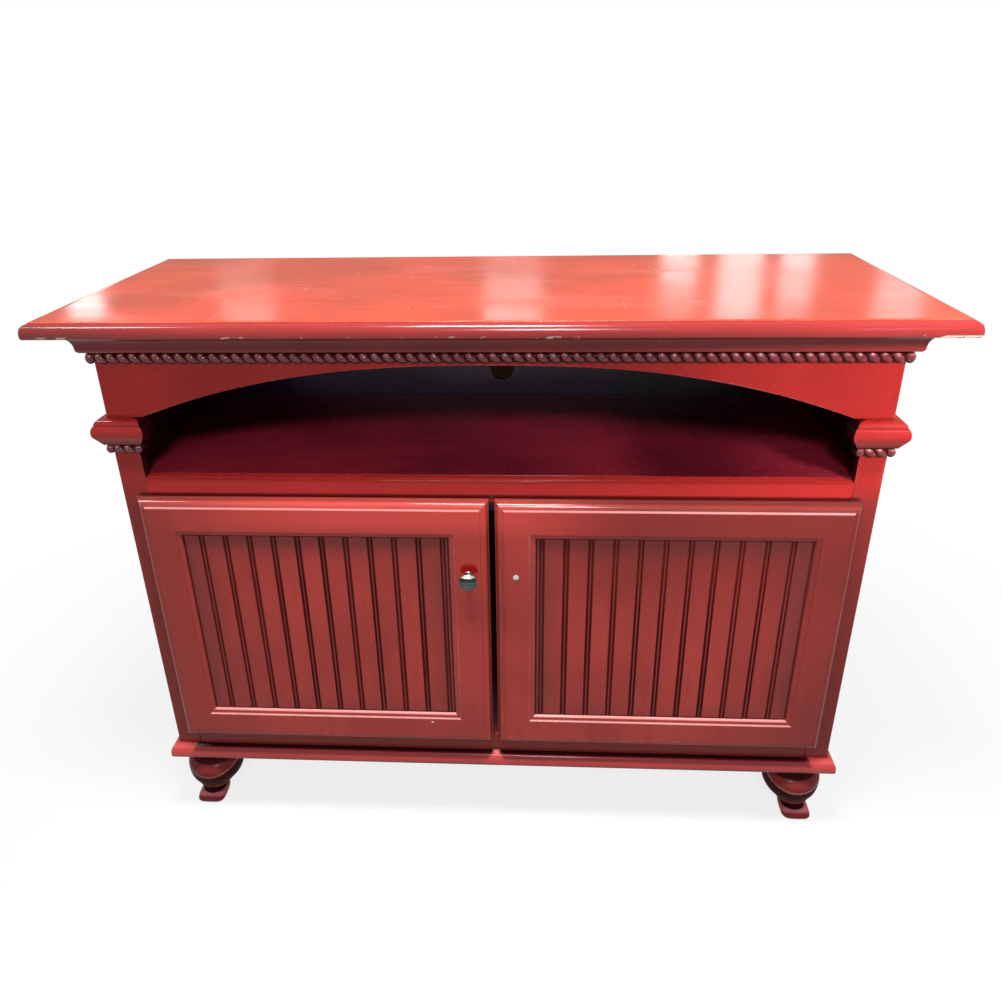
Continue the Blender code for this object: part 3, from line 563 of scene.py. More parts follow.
def trim_finish(name, colour, brushed, gloss, shine):
    """Lacquer of the mouldings: painted shade in the bay, painted light on the base, painted shadow under the
    doors.
    """
    tones = bpy.context.scene.console_colours
    wear = bpy.context.scene.console_wear
    paint = lacquer(name, colour, brushed, gloss, shine)
    # Painted shade on the returns inside the bay
    paint.over(in_bay(paint) * wear.returns, tones.shade)
    head = high("base_moulding_front").z
    on_base = paint.fall(paint.z, head, head + 0.01)
    # Where the doors' painted shadow falls on the base: under the doors, but not below the gap between them
    ends = paint.fall(abs(paint.x) + (paint.z - head) * 0.6, DOOR_OUTER - 0.018, DOOR_OUTER - 0.006)
    gap = paint.ramp(abs(paint.x) - (head - paint.z) * 0.8, DOOR_INNER * 0.5, DOOR_INNER * 2.2)
    covered = ends * gap * on_base
    # Painted light: the base is paler where the lamps fall on it, less so in the doors' shadow
    paint.over(on_base * (0.6 - covered * 0.32), [channel * lift for channel, lift in zip(colour, BASE_PAINTED_LIGHT)])
    ledge = paint.ramp(paint.z, head - 0.0034, head - 0.0020)
    nose = paint.ramp(paint.z, head - 0.0150, head - 0.0085)
    # Painted shadow of the doors on the nose and ledge of the base
    paint.over(covered * nose * wear.nose, tones.nose)
    paint.over(covered * ledge * wear.ledge, tones.shade)
    # Painted light falling through the gap between the doors onto the ledge
    glint = paint.fall(abs(paint.x), DOOR_INNER * 0.7, DOOR_INNER * 1.6) * ledge * on_base
    paint.over(glint * wear.glint, tones.glint)
    # Painted shade along the foot of the base
    heel = paint.fall(paint.z, Z_CASE + 0.0024, Z_CASE + 0.0050)
    paint.over(heel * wear.heel, tones.shade)
    return lacquered(paint)


def foot_finish():
    """Lacquer of the feet, with a pink painted highlight round the top of each pad and painted shade at the
    neck.
    """
    tones = bpy.context.scene.console_colours
    wear = bpy.context.scene.console_wear
    pad = bpy.context.scene.console_feet.pad_height
    colour = mixed(dimmed(tones.trim, 0.52), tones.rubbed_and_highlight, 0.04)
    paint = lacquer("foot_lacquer", colour, (3.0, 3.0, 0.5), gloss=0.40, shine=0.10)
    # Painted highlight round the top of the pad
    rim = paint.ramp(paint.z, pad - 0.010, pad - 0.005) * paint.fall(paint.z, pad, pad + 0.0008)
    paint.over(rim * wear.pad, tones.rim)
    # Painted shade at the neck
    neck = paint.ramp(paint.z, pad + 0.0005, pad + 0.002) * paint.fall(paint.z, pad + 0.018, pad + 0.022)
    paint.over(neck * wear.neck, tones.shade)
    return lacquered(paint)


def case_finish(name, brushed, rub_level, dark_below, clear_above):
    """Lacquer of the case: painted shade on inside faces and over the doors, soiling and painted shade low
    down.
    """
    tones = bpy.context.scene.console_colours
    wear = bpy.context.scene.console_wear
    paint = lacquer(name, tones.case, brushed, gloss=0.26, shine=0.18, rub_level=rub_level)
    reach = abs(paint.x)

    def inside(at, past):
        """1 on an upright face that looks into the case."""
        return paint.fall(reach, at + past, at + past + 0.0006) * paint.ramp(reach, at - 0.0010, at - 0.0006)

    joint = paint.fall(abs(reach - HALF_BAY), 0.003, 0.006) * paint.fall(paint.z, Z_SHELF, Z_SHELF + 0.002)
    paint.over(joint, tones.case)
    below = paint.fall(paint.z, Z_SHELF, Z_SHELF + 0.02)
    paint.over(below * 0.5, dimmed(tones.case, 1.4))
    # Painted shadow of the doors on the strip just over them
    strip = paint.ramp(paint.z, DOOR_TOP - 0.01, DOOR_TOP)
    strip = strip * paint.fall(paint.z, DOOR_TOP + 0.0035, DOOR_TOP + 0.0075)
    strip = strip * paint.fall(reach, DOOR_OUTER - 0.008, DOOR_OUTER)
    paint.over(strip * wear.strip, dimmed(tones.case, 0.18))
    # Painted shade on the faces that look into the case
    stile = inside(HALF_BAY, 0.0004) * paint.ramp(paint.y, Y_FACE + 0.0006, Y_FACE + 0.0016)
    side = inside(HALF_INSIDE, 0.0002) * paint.ramp(paint.y, Y_FRAME_BACK - 0.001, Y_FRAME_BACK)
    paint.over(stile.most(side) * wear.inside, tones.shade)
    # Soiling and painted shade low on the case, less on the upper right where the light is painted stronger
    level = paint.z + (paint.noise(9.0, 3.0) - 0.5) * 0.10
    right = paint.ramp(paint.x, 0.3, 0.6) * paint.ramp(paint.z, Z_SHELF - 0.05, Z_SHELF + 0.03)
    paint.over(paint.fall(level, dark_below, clear_above) * (0.62 - right * 0.5), tones.grime_and_shade)
    return lacquered(paint)


def top_finish():
    """Lacquer of the top: scuffs and fine scratches, painted shade at the left of the edge, cream chips along
    its lower edge.
    """
    tones = bpy.context.scene.console_colours
    wear = bpy.context.scene.console_wear
    paint = lacquer("top_lacquer", tones.top, (0.25, 3.0, 3.0), gloss=0.18, shine=0.42, coat=0.0)
    hazy = paint.noise(3.2, 5.0, (1.0, 2.4, 1.0))
    scuff = paint.ramp(hazy, 0.54, 0.74)
    lines = paint.noise(26.0, 2.0, (0.22, 9.0, 1.0), 0.5, (0.0, 0.0, 0.35))
    cross = paint.noise(22.0, 2.0, (9.0, 0.25, 1.0), 0.5, (0.0, 0.0, -0.55))
    scratch = (paint.ramp(lines, 0.69, 0.73) + paint.ramp(cross, 0.70, 0.74)) * paint.ramp(hazy, 0.42, 0.60)
    level = paint.ramp(paint.z, Z_TOP + 0.0215, Z_TOP + 0.0240)
    edge = paint.blend(paint.noise(6.0, 3.0), dimmed(tones.edge, 0.85), dimmed(tones.edge, 1.15))
    # Painted shade: the edge darkens towards the left end
    edge = paint.blend(paint.fall(paint.x, -0.70, -0.40) * 0.6, edge, dimmed(tones.edge, 0.30))
    paint.base = paint.blend(level * 0.98 + 0.02, edge, paint.base)
    paint.over(scuff * level * wear.scuffs, tones.rubbed_and_highlight)
    paint.over(scratch * level * wear.scratches, mixed(tones.rubbed_and_highlight, tones.chipped_and_highlight, 0.5))
    under = paint.fall(paint.z, Z_TOP + 0.0020, Z_TOP + 0.0058)
    ragged = paint.noise(70.0, 4.0, (1.0, 1.0, 2.2))
    places = paint.noise(9.0, 2.0)
    ends = paint.ramp(abs(paint.x), 0.55, 0.71) * 0.09
    chips = paint.ramp(ragged + (places - 0.5) * 0.5 + ends, 0.63, 0.67) * under
    paint.over(chips * wear.edge_chips, tones.chipped_and_highlight)
    paint.rough = paint.rough + scuff * level * 0.12 + scratch * level * 0.12 + chips * 0.35
    paint.relief = paint.relief - chips * 1.5
    return lacquered(paint, TOP_RELIEF)


def door_shades(paint, tones):
    """Paint shade on the outer ends and the upper right of the doors, and paint light on the left of their
    top rails.
    """
    # Painted shade on the outer ends
    outer = paint.ramp(abs(paint.x), 0.42, 0.62) * (0.45 + paint.ramp(paint.x, 0.0, 0.1) * 0.25)
    paint.over(outer, dimmed(tones.door, 0.55))
    # Painted light on the left of the top rails
    rail = paint.ramp(paint.z, DOOR_TOP - 0.075, DOOR_TOP - 0.030)
    rail = rail * paint.fall(abs(paint.x + 0.15), 0.10, 0.50)
    paint.over(rail * 0.75, dimmed(tones.door, 1.75))
    # Painted shade on the upper right
    right = paint.ramp(paint.x, 0.02, 0.25) * paint.ramp(paint.z, DOOR_TOP - 0.26, DOOR_TOP - 0.10)
    paint.over(right * 0.75, dimmed(tones.door, 0.4))
    paint.coat = paint.coat.most(paint.ramp(paint.z, DOOR_TOP - 0.018, DOOR_TOP - 0.013) * 0.9)


def door_marks(paint, tones, wear):
    """Touch up a red arc over the knob, and nick the bottom rail of the left door."""
    ragged = (paint.noise(160.0, 2.0) - 0.5) * 0.5
    away = paint.near(KNOB_X + 0.001, KNOB_Z + 0.013, 0.0150, 0.0150) + ragged
    touched = paint.fall(away, 0.80, 1.15) * paint.ramp(paint.z, KNOB_Z + 0.006, KNOB_Z + 0.010)
    paint.over(touched * wear.touch_up, tones.touched)
    away = paint.near(KNOB_X - 0.078, KNOB_Z - 0.323, 0.0032, 0.0022) + ragged
    paint.over(paint.fall(away, 0.7, 1.1) * wear.nick, tones.chipped_and_highlight)


def door_lines(paint, tones, wear):
    """Paint pale highlight lines on the sill under each panel and on the top edge of each door, and shade in
    the sill's hollow.
    """
    sizes = bpy.context.scene.console_doors
    groove = Y_DOOR - sizes.panel_back - sizes.panel
    front = paint.fall(paint.y, groove, groove + 0.0005)
    inset = (abs(paint.x) - DOOR_INNER).least(DOOR_OUTER - abs(paint.x))
    rise = paint.z - DOOR_BOTTOM - sizes.frame
    sill = paint.ramp(inset - sizes.frame - rise, -0.0005, 0.0005) * front
    hollow = paint.ramp(rise, 0.0020, 0.0030) * paint.fall(rise, sizes.stick - 0.0060, sizes.stick - 0.0045)
    # Painted shade in the hollow of the sill
    paint.over(hollow * sill * 0.5, dimmed(tones.door, 0.45))
    drop = DOOR_TOP - paint.z
    mitre = paint.ramp(inset - drop, -0.0005, 0.0005)
    arris = paint.fall(abs(drop - sizes.edge), 0.0010, 0.0022) * mitre * front
    lines = paint.fall(abs(rise), 0.0014, 0.0026)
    lines = lines + paint.fall(abs(rise - sizes.stick + 0.0028), 0.0010, 0.0022)
    # Painted highlight lines on the sills and the top edges
    paint.over((lines * sill).most(arris) * wear.lines, tones.line)


def door_dirt_and_shade(paint, tones, wear):
    """Lay soiling and painted shade round the rim of each panel, and dark glazing in the joint beside it."""
    sizes = bpy.context.scene.console_doors
    border = sizes.frame + sizes.stick
    face = low("left_door_bead_panel").y
    panel = paint.ramp(paint.y, face - 0.0004, face)
    aside = (abs(paint.x) - DOOR_INNER - border).least(DOOR_OUTER - border - abs(paint.x))
    upright = (DOOR_TOP - border - paint.z).least(paint.z - DOOR_BOTTOM - border + 0.02)
    # Soiling and painted shade round the rim, less at the bottom
    rim = paint.fall(aside.least(upright), 0.0, 0.035 + paint.noise(16.0, 3.0) * 0.05) * panel
    paint.over(rim * wear.dirt_and_shade, tones.dirt_and_shade)
    joint = paint.fall(abs(aside), 0.0006, 0.0026) * panel * paint.ramp(upright, -0.001, 0.0)
    paint.over(joint * wear.joint, tones.glaze)


def door_finish():
    """Lacquer of the doors: painted light and shade, marks, painted highlights and soiled rims in turn, with
    a tint for each board.
    """
    tones = bpy.context.scene.console_colours
    wear = bpy.context.scene.console_wear
    paint = lacquer("door_lacquer", tones.door, BRUSHED_UP, gloss=0.22, shine=0.22)
    door_shades(paint, tones)
    for layer in (door_marks, door_lines, door_dirt_and_shade):
        layer(paint, tones, wear)
    paint.over(paint.attribute("tint") * wear.tint, dimmed(tones.door, 0.62))
    return lacquered(paint)


def bay_finish(name, deep, cupboard=None):
    """Dark glossy lacquer of the bay, with dust, fine scratches and a painted shadow band across its right.

    A board that reaches past the bay has a cupboard colour there, and a painted bluish light inside the bay.
    """
    tones = bpy.context.scene.console_colours
    wear = bpy.context.scene.console_wear
    paint = Paint(name)
    cloud = paint.noise(4.0, 4.0)
    streak = paint.noise(12.0, 4.0, (0.3, 3.0, 3.0))
    dust = paint.ramp(paint.noise(320.0, 2.0), 0.63, 0.74)
    lines = paint.ramp(paint.noise(24.0, 2.0, (0.3, 8.0, 8.0), 0.5, (0.0, 0.0, 0.4)), 0.68, 0.73)
    paint.base = paint.blend(paint.ramp(cloud, 0.3, 0.7), dimmed(deep, 0.72), dimmed(deep, 1.25))
    paint.over(paint.ramp(streak, 0.5, 0.75) * 0.4, dimmed(deep, 0.45))
    # Painted shadow band across the right of the bay
    dim = paint.ramp(paint.x, 0.18, 0.29) * paint.fall(paint.x, 0.37, 0.52)
    paint.over(dim * wear.dim, dimmed(deep, 0.20))
    if cupboard:
        # Painted bluish light on the back of the bay
        haze = paint.fall(paint.near(-0.06, Z_SPRING - 0.045, 0.15, 0.05), 0.2, 1.0)
        paint.over(haze * wear.haze, tones.haze)
        face = low("back_panel").y
        inside = paint.ramp(paint.z, Z_SHELF - 0.03, Z_SHELF - 0.02)
        inside = inside * paint.fall(paint.y, face + 0.001, face + 0.002)
        paint.over(1.0 - inside, cupboard)
    paint.over(dust * 0.04 + lines * 0.06, tones.rubbed_and_highlight)
    paint.shader_input("Base Color", paint.base)
    paint.shader_input("Roughness", 0.22 + (cloud - 0.5) * 0.16 + dust * 0.25 + lines * 0.15)
    paint.bump(streak * 0.6 + paint.noise(400.0, 2.0) * 0.4, 0.0002, 0.35)
    return paint.material


def board_finish():
    """Bare brown board with grain and pores."""
    tones = bpy.context.scene.console_colours
    paint = Paint("bare_board")
    sway = paint.noise(3.0, 2.0, (0.5, 3.0, 3.0))
    along = paint.stretched((0.35, 14.0, 14.0))
    rings = paint.node("ShaderNodeTexWave", {"wave_type": "BANDS", "bands_direction": "Y"}, along, Scale=1.2,
                       Distortion=6.0, Detail=3.0, Detail_Scale=1.5)
    pores = paint.ramp(paint.noise(60.0, 3.0, (0.06, 3.0, 3.0)), 0.56, 0.70)
    paint.base = paint.blend(rings * 0.5 + sway * 0.4, dimmed(tones.board, 0.75), dimmed(tones.board, 1.25))
    paint.over(pores * 0.55, dimmed(tones.board, 0.40))
    paint.shader_input("Base Color", paint.base)
    paint.shader_input("Roughness", 0.62 + pores * 0.15 + (sway - 0.5) * 0.2)
    paint.bump(rings * 0.3 - pores, 0.0003, 0.5)
    return paint.material


def metal_finish(name, colour, tarnish, rough, spot, crown=None):
    """Handled metal: tarnish, fine scratches and bright handled rims, with a painted reflection at any crown
    level.
    """
    tones = bpy.context.scene.console_colours
    paint = Paint(name)
    cloud = paint.noise(spot, 4.0)
    fine = paint.noise(spot * 9.0, 2.0, (1.0, 1.0, 6.0))
    dull = paint.ramp(cloud + paint.attribute("glaze") * 0.35, 0.42, 0.72)
    rub = paint.ramp(paint.attribute("worn") + (fine - 0.5) * 0.6, 0.45, 0.95)
    paint.base = paint.blend(dull * 0.75, colour, tarnish)
    paint.over(rub * 0.65, mixed(colour, tones.polish, 0.55))
    if crown:
        # Painted reflection: bright over the crown level, dark in a band just under it
        above = paint.ramp(paint.z, crown, crown + 0.003)
        paint.over(above * 0.85, tones.crown)
        paint.over(paint.ramp(paint.z, crown - 0.007, crown - 0.001) * (1.0 - above) * 0.8, tones.dark_reflection)
    paint.shader_input("Base Color", paint.base)
    paint.shader_input("Metallic", 1.0 - dull * 0.25)
    paint.shader_input("Roughness", rough + dull * 0.22 + (fine - 0.5) * 0.20 - rub * 0.08)
    paint.bump(fine * 0.6 + cloud * 0.4, 0.00012, 0.5)
    return paint.material


def plastic_finish():
    """Moulded black plastic with a fine spark-eroded grain."""
    tones = bpy.context.scene.console_colours
    paint = Paint("catch_plastic")
    grain = paint.noise(900.0, 2.0)
    cloud = paint.ramp(paint.noise(40.0, 2.0), 0.3, 0.7)
    pale = mixed(tones.plastic, tones.bloom, 0.12)
    paint.shader_input("Base Color", paint.blend(cloud, tones.plastic, pale))
    paint.shader_input("Roughness", 0.50 + (grain - 0.5) * 0.3)
    paint.shader_input("Specular IOR Level", 0.06)
    paint.bump(grain, 0.0002, 0.6)
    return paint.material


def finish(name):
    """A named finish, made once."""
    tones = bpy.context.scene.console_colours
    makers = {
        "top": top_finish,
        "case": lambda: case_finish("case_lacquer", BRUSHED_ACROSS, rub_level=0.72, dark_below=0.19, clear_above=0.42),
        "case_upright": lambda: case_finish("upright_lacquer", BRUSHED_UP, rub_level=0.62, dark_below=0.68,
                                            clear_above=0.86),
        "trim": lambda: trim_finish("trim_lacquer", tones.trim, BRUSHED_ACROSS, gloss=0.22, shine=0.26),
        "capital": lambda: trim_finish("capital_lacquer", dimmed(tones.case, 0.95), BRUSHED_ACROSS,
                                       gloss=0.24, shine=0.24),
        "rope": lambda: trim_finish("rope_lacquer", tones.rope, (2.0, 2.0, 2.0), gloss=0.14, shine=0.45),
        "foot": foot_finish,
        "door": door_finish,
        "bay": lambda: bay_finish("bay_lacquer", tones.deep),
        # The back panel's bluish colour is a painted sheen
        "back": lambda: bay_finish("back_lacquer", tones.back, cupboard=dimmed(tones.case, 0.10)),
        "board": board_finish,
        "pewter": lambda: metal_finish("pewter", tones.pewter, tones.pewter_tarnish, rough=0.26, spot=60.0,
                                       crown=KNOB_Z + 0.0080),
        "steel": lambda: metal_finish("steel", tones.steel, tones.steel_tarnish, rough=0.28, spot=90.0),
        "brass": lambda: metal_finish("brass", tones.brass, tones.brass_tarnish, rough=0.30, spot=55.0),
        "plastic": plastic_finish,
    }
    if name not in FINISHES:
        FINISHES[name] = makers[name]()
    return FINISHES[name]


FINISHES = {}
SLOTS = dict.fromkeys(("top", "case", "case_upright", "trim", "capital", "rope", "foot", "door"), "red_paint")
SLOTS.update(bay="dark_red_paint", back="dark_red_paint", board="brown_board", pewter="pewter", steel="steel",
             brass="brass", plastic="black_plastic")


# Shapes: every point carries its share of wear, which on some parts is a painted highlight,
# and of dark glazing, which on some parts is painted shade

def dot(across, rise, worn=0.0, glaze=0.0):
    """One point of a section."""
    return (across, rise, worn, glaze)


def arc(centre, radii, start, end, steps=10, worn=0.0, glaze=0.0):
    """Section points along part of an ellipse, between two angles in degrees."""
    angles = [math.radians(start + (end - start) * k / steps) for k in range(steps + 1)]
    return [dot(centre[0] + radii[0] * math.cos(a), centre[1] + radii[1] * math.sin(a), worn, glaze)
            for a in angles]


class Skin:
    """Points and faces of one piece while it is being shaped."""

    def __init__(self):
        self.points = []
        self.worn = []
        self.glaze = []
        self.faces = []

    def add(self, points):
        """Keep tagged points, and give the place of the first."""
        start = len(self.points)
        for x, y, z, worn, glaze in points:
            self.points.append((x, y, z))
            self.worn.append(worn)
            self.glaze.append(glaze)
        return start

    def loft(self, rings):
        """Close a skin through rings of matching tagged points."""
        count = len(rings[0])
        starts = [self.add(ring) for ring in rings]
        for a, b in zip(starts, starts[1:]):
            for k in range(count):
                after = (k + 1) % count
                self.faces.append((a + k, a + after, b + after, b + k))
        for cap in (starts[0], starts[-1]):
            self.faces.append(tuple(cap + k for k in range(count)))

    def moulding(self, section, path, height, open_start=True, open_end=True):
        """A moulding along a flat path, its face to the right of the way, mitred at corners and joints."""
        corners = [Vector(point) for point in path]
        ways = [(b - a).normalized() for a, b in zip(corners, corners[1:])]
        outs = [Vector((way.y, -way.x)) for way in ways]
        rings = []
        for k, corner in enumerate(corners):
            if 0 < k < len(corners) - 1:
                lean = outs[k - 1] + outs[k]
            else:
                first = k == 0
                lean = outs[0] if first else outs[-1]
                if not (open_start if first else open_end):
                    lean = lean + (-ways[0] if first else ways[-1])
            ring = []
            for across, rise, worn, glaze in section:
                spot = corner + lean * (across + GAP)
                ring.append((spot.x, spot.y, height + rise, worn, glaze))
            rings.append(ring)
        self.loft(rings)

    def turning(self, base, along, profile, sides):
        """A turned form about an axis, from (radius, distance along) points."""
        axis = Vector(along)
        across = Vector((1.0, 0.0, 0.0))
        up = axis.cross(across)
        rings = []
        for radius, distance, worn, glaze in profile:
            ring = []
            for k in range(sides):
                turn = 2 * math.pi * k / sides
                spot = Vector(base) + axis * distance
                spot += (across * math.cos(turn) + up * math.sin(turn)) * radius
                ring.append((*spot, worn, glaze))
            rings.append(ring)
        self.loft(rings)

    def board(self, near, far, arris, band):
        """A board with rounded arrises and a worn band beside them."""
        size = [b - a for a, b in zip(near, far)]
        shape = bmesh.new()
        bmesh.ops.create_cube(shape, size=1.0)
        for vert in shape.verts:
            vert.co = [a + s * (c + 0.5) for a, s, c in zip(near, size, vert.co)]
        bmesh.ops.bevel(shape, geom=shape.edges[:], offset=arris, segments=3, affect="EDGES", profile=0.5)
        wide = sorted(shape.faces, key=lambda face: face.calc_area())[-6:]
        bmesh.ops.inset_individual(shape, faces=wide, thickness=min(band, 0.3 * min(size)))
        tagged = []
        for vert in shape.verts:
            edges = sum(1 for c, a, b in zip(vert.co, near, far) if min(c - a, b - c) < arris * 1.01)
            tagged.append((*vert.co, 1.0 if edges > 1 else 0.0, 0.0))
        start = self.add(tagged)
        shape.verts.index_update()
        for face in shape.faces:
            self.faces.append(tuple(start + vert.index for vert in face.verts))
        shape.free()

    def mesh(self, name, sharp=32.0):
        """A mesh of the skin, smooth up to a sharp angle."""
        made = bpy.data.meshes.new(name)
        made.from_pydata(self.points, [], self.faces)
        for label, values in (("worn", self.worn), ("glaze", self.glaze)):
            made.attributes.new(label, "FLOAT", "POINT").data.foreach_set("value", values)
        shape = bmesh.new()
        shape.from_mesh(made)
        bmesh.ops.recalc_face_normals(shape, faces=shape.faces[:])
        shape.to_mesh(made)
        shape.free()
        made.shade_smooth()
        made.set_sharp_from_angle(angle=math.radians(sharp))
        return made

    def piece(self, name, paint, sharp=32.0):
        """An object of the skin at the origin, with its finish."""
        piece = bpy.data.objects.new(name, self.mesh(name, sharp))
        piece.data.materials.append(finish(paint))
        bpy.context.scene.collection.objects.link(piece)
        return piece


def place(piece, body, paint, *nodes):
    """Let a piece ride on a body in the place of some nodes."""
    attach(piece, body)
    if nodes:
        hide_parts(*nodes)


# Rows of like pieces

def row_tree():
    """Geometry Nodes that set out copies of an object in a row, each with its own tint."""
    name = "row_of_copies"
    if name in bpy.data.node_groups:
        return bpy.data.node_groups[name]
    tree = bpy.data.node_groups.new(name, "GeometryNodeTree")
    face = tree.interface
    face.new_socket("Geometry", in_out="INPUT", socket_type="NodeSocketGeometry")
    for label, kind in (("Copy", "Object"), ("Count", "Int"), ("Start", "Vector"), ("Step", "Vector"),
                        ("Turn", "Vector"), ("Seed", "Int"), ("Finish", "Material")):
        face.new_socket(label, in_out="INPUT", socket_type="NodeSocket" + kind)
    face.new_socket("Geometry", in_out="OUTPUT", socket_type="NodeSocketGeometry")
    nodes = tree.nodes
    given = nodes.new("NodeGroupInput")
    result = nodes.new("NodeGroupOutput")
    line = nodes.new("GeometryNodeMeshLine")
    line.mode = "OFFSET"
    info = nodes.new("GeometryNodeObjectInfo")
    info.inputs["As Instance"].default_value = True
    copies = nodes.new("GeometryNodeInstanceOnPoints")
    turn = nodes.new("FunctionNodeEulerToRotation")
    chance = nodes.new("FunctionNodeRandomValue")
    chance.data_type = "FLOAT"
    keep = nodes.new("GeometryNodeStoreNamedAttribute")
    keep.data_type = "FLOAT"
    keep.domain = "INSTANCE"
    keep.inputs["Name"].default_value = "tint"
    join = nodes.new("GeometryNodeJoinGeometry")
    realize = nodes.new("GeometryNodeRealizeInstances")
    coated = nodes.new("GeometryNodeSetMaterial")
    tint = [socket.type for socket in chance.outputs].index("VALUE")
    for source, out, target, into in (
            (given, "Copy", info, "Object"), (given, "Count", line, "Count"),
            (given, "Start", line, "Start Location"), (given, "Step", line, "Offset"),
            (given, "Turn", turn, 0),
            (line, "Mesh", copies, "Points"), (info, "Geometry", copies, "Instance"),
            (turn, 0, copies, "Rotation"), (given, "Seed", chance, "Seed"),
            (copies, "Instances", keep, "Geometry"), (chance, tint, keep, "Value"),
            (keep, "Geometry", join, 0), (given, "Geometry", join, 0), (join, 0, realize, 0),
            (realize, 0, coated, "Geometry"), (given, "Finish", coated, "Material"), (coated, 0, result, 0)):
        tree.links.new(source.outputs[out], target.inputs[into])
    return tree


def add_row(piece, copy, paint, count, start, step, turn=0.0, seed=3):
    """Add a row of copies to a piece, as a Geometry Nodes modifier."""
    row = piece.modifiers.new("row", "NODES")
    row.node_group = row_tree()
    values = {"Copy": copy, "Count": count, "Start": start, "Step": step, "Turn": (0.0, 0.0, turn),
              "Seed": seed, "Finish": finish(paint)}
    for item in row.node_group.interface.items_tree:
        if item.in_out == "INPUT" and item.name in values:
            row[item.identifier] = values[item.name]


def settle(piece):
    """Turn the rows of a piece into plain mesh."""
    bpy.context.view_layer.update()
    shaped = piece.evaluated_get(bpy.context.evaluated_depsgraph_get())
    made = bpy.data.meshes.new_from_object(shaped)
    piece.modifiers.clear()
    piece.data = made
    made.name = piece.name


def discard(piece):
    """Remove a pattern piece that has been copied."""
    bpy.data.objects.remove(piece)


# Top, case and apron

class CONSOLE_OT_top(bpy.types.Operator):
    """Shape the top with its thumbnail edge"""
    bl_idname = "console.top"
    bl_label = "Top"

    def execute(self, context):
        sizes = context.scene.console_top
        reach = Y_FACE - low("top_slab").y
        thick = high("top_slab").z - Z_TOP
        shoulder = reach - sizes.thumb_width
        band_top = sizes.ease + sizes.band
        edge = arc((reach - sizes.ease, sizes.ease), (sizes.ease, sizes.ease), -90, 0, 6, 0.75)
        edge += arc((shoulder, band_top), (sizes.thumb_width, sizes.thumb_height), 0, 90, 14)
        arris = context.scene.console_case.arris
        edge += [dot(shoulder, thick - arris, 0.2, 0.8)]
        edge += arc((shoulder - arris, thick - arris), (arris, arris), 0, 90, 4, 0.55)
        edge += [dot(shoulder - 0.007, thick), dot(shoulder - 0.02, thick)]
        edge.insert(0, dot(reach - 0.012, 0.0))
        back = high("top_slab").y
        rings = []
        for out, rise, worn, glaze in edge:
            radius = max(sizes.corner - (reach - out), 0.0008)
            side, front = HALF_BODY + out - radius, Y_FACE - out + radius
            ring = [(-side - radius, back)]
            for middle, first in ((-side, 180), (side, 270)):
                turns = [math.radians(first + 90 * k / 5) for k in range(6)]
                ring += [(middle + radius * math.cos(t), front + radius * math.sin(t)) for t in turns]
            ring.append((side + radius, back))
            rings.append([(x, y, Z_TOP + rise, worn, glaze) for x, y in ring])
        skin = Skin()
        skin.loft(rings)
        place(skin.piece("top", "top"), "carcass", "top", "top_slab")
        return {"FINISHED"}


class CONSOLE_OT_case(bpy.types.Operator):
    """Shape the stiles, rails, sides and shelf, and the arched apron over the bay"""
    bl_idname = "console.case"
    bl_label = "Case and apron"

    def execute(self, context):
        sizes = context.scene.console_case
        boards = (("left_stile", "case_upright"), ("right_stile", "case_upright"), ("bottom_rail", "case"),
                  ("shelf_rail", "case"), ("left_side", "case_upright"), ("right_side", "case_upright"),
                  ("media_shelf", "bay"))
        for node, paint in boards:
            skin = Skin()
            skin.board(low(node), high(node), sizes.arris, sizes.rub)
            place(skin.piece(node + "_board", paint), "carcass", paint, node)
        self.apron(sizes)
        for node, paint in (("back_panel", "back"), ("cabinet_floor", "board"), ("front_batten", "board"),
                            ("rear_batten", "board"), ("magnetic_catch", "plastic")):
            dress(node, paint, sizes.arris / 2)
        return {"FINISHED"}

    def apron(self, sizes):
        """The apron: a level shoulder at each stile and a flat arch between them."""
        crown = Z_SPRING + sizes.arch_rise
        half = HALF_BAY - sizes.arch_shoulder
        top = high("arched_apron").z
        arris, rub = sizes.arris, sizes.rub
        stations = [(-HALF_BODY, 0.7, arris), (-HALF_BODY + arris, 0.7, 0.0), (-HALF_BODY + rub, 0.0, 0.0)]
        stations += [(half * (k / 48 - 1), 0.0, 0.0) for k in range(97)]
        stations += [(HALF_BODY - rub, 0.0, 0.0), (HALF_BODY - arris, 0.7, 0.0), (HALF_BODY, 0.7, arris)]
        rings = []
        for x, worn, back_off in stations:
            foot = crown - sizes.arch_rise * min(abs(x) / half, 1.0) ** sizes.arch_power
            face = Y_FACE + back_off
            rub_foot = 0.9 if abs(x) < HALF_BODY - 0.03 else worn
            ring = [(Y_FRAME_BACK, foot, 0.0), (face + arris, foot, rub_foot)]
            ring += [(face + 0.3 * arris, foot + 0.3 * arris, 1.0), (face, foot + arris, rub_foot)]
            ring += [(face, foot + rub * 0.9, worn), (face, top - rub, worn), (face, top, worn)]
            ring += [(Y_FRAME_BACK, top, 0.0)]
            rings.append([(x, y, z, rubbed_and_highlight, 0.0) for y, z, rubbed_and_highlight in ring])
        skin = Skin()
        skin.loft(rings)
        place(skin.piece("apron", "case"), "carcass", "case", "arched_apron")


def dress(node, paint, arris=0.0):
    """Give a node of the model its finish, and soft edges where it has room for them."""
    piece = frame["nodes"][node]
    piece.data.materials.clear()
    piece.data.materials.append(finish(paint))
    if arris:
        weld = piece.modifiers.new("weld", "WELD")
        weld.merge_threshold = 0.00001
        bevel = piece.modifiers.new("soft_edges", "BEVEL")
        bevel.width = arris
        bevel.segments = 2
        bevel.limit_method = "ANGLE"
        bevel.angle_limit = math.radians(40)


# Mouldings, ropes and capitals

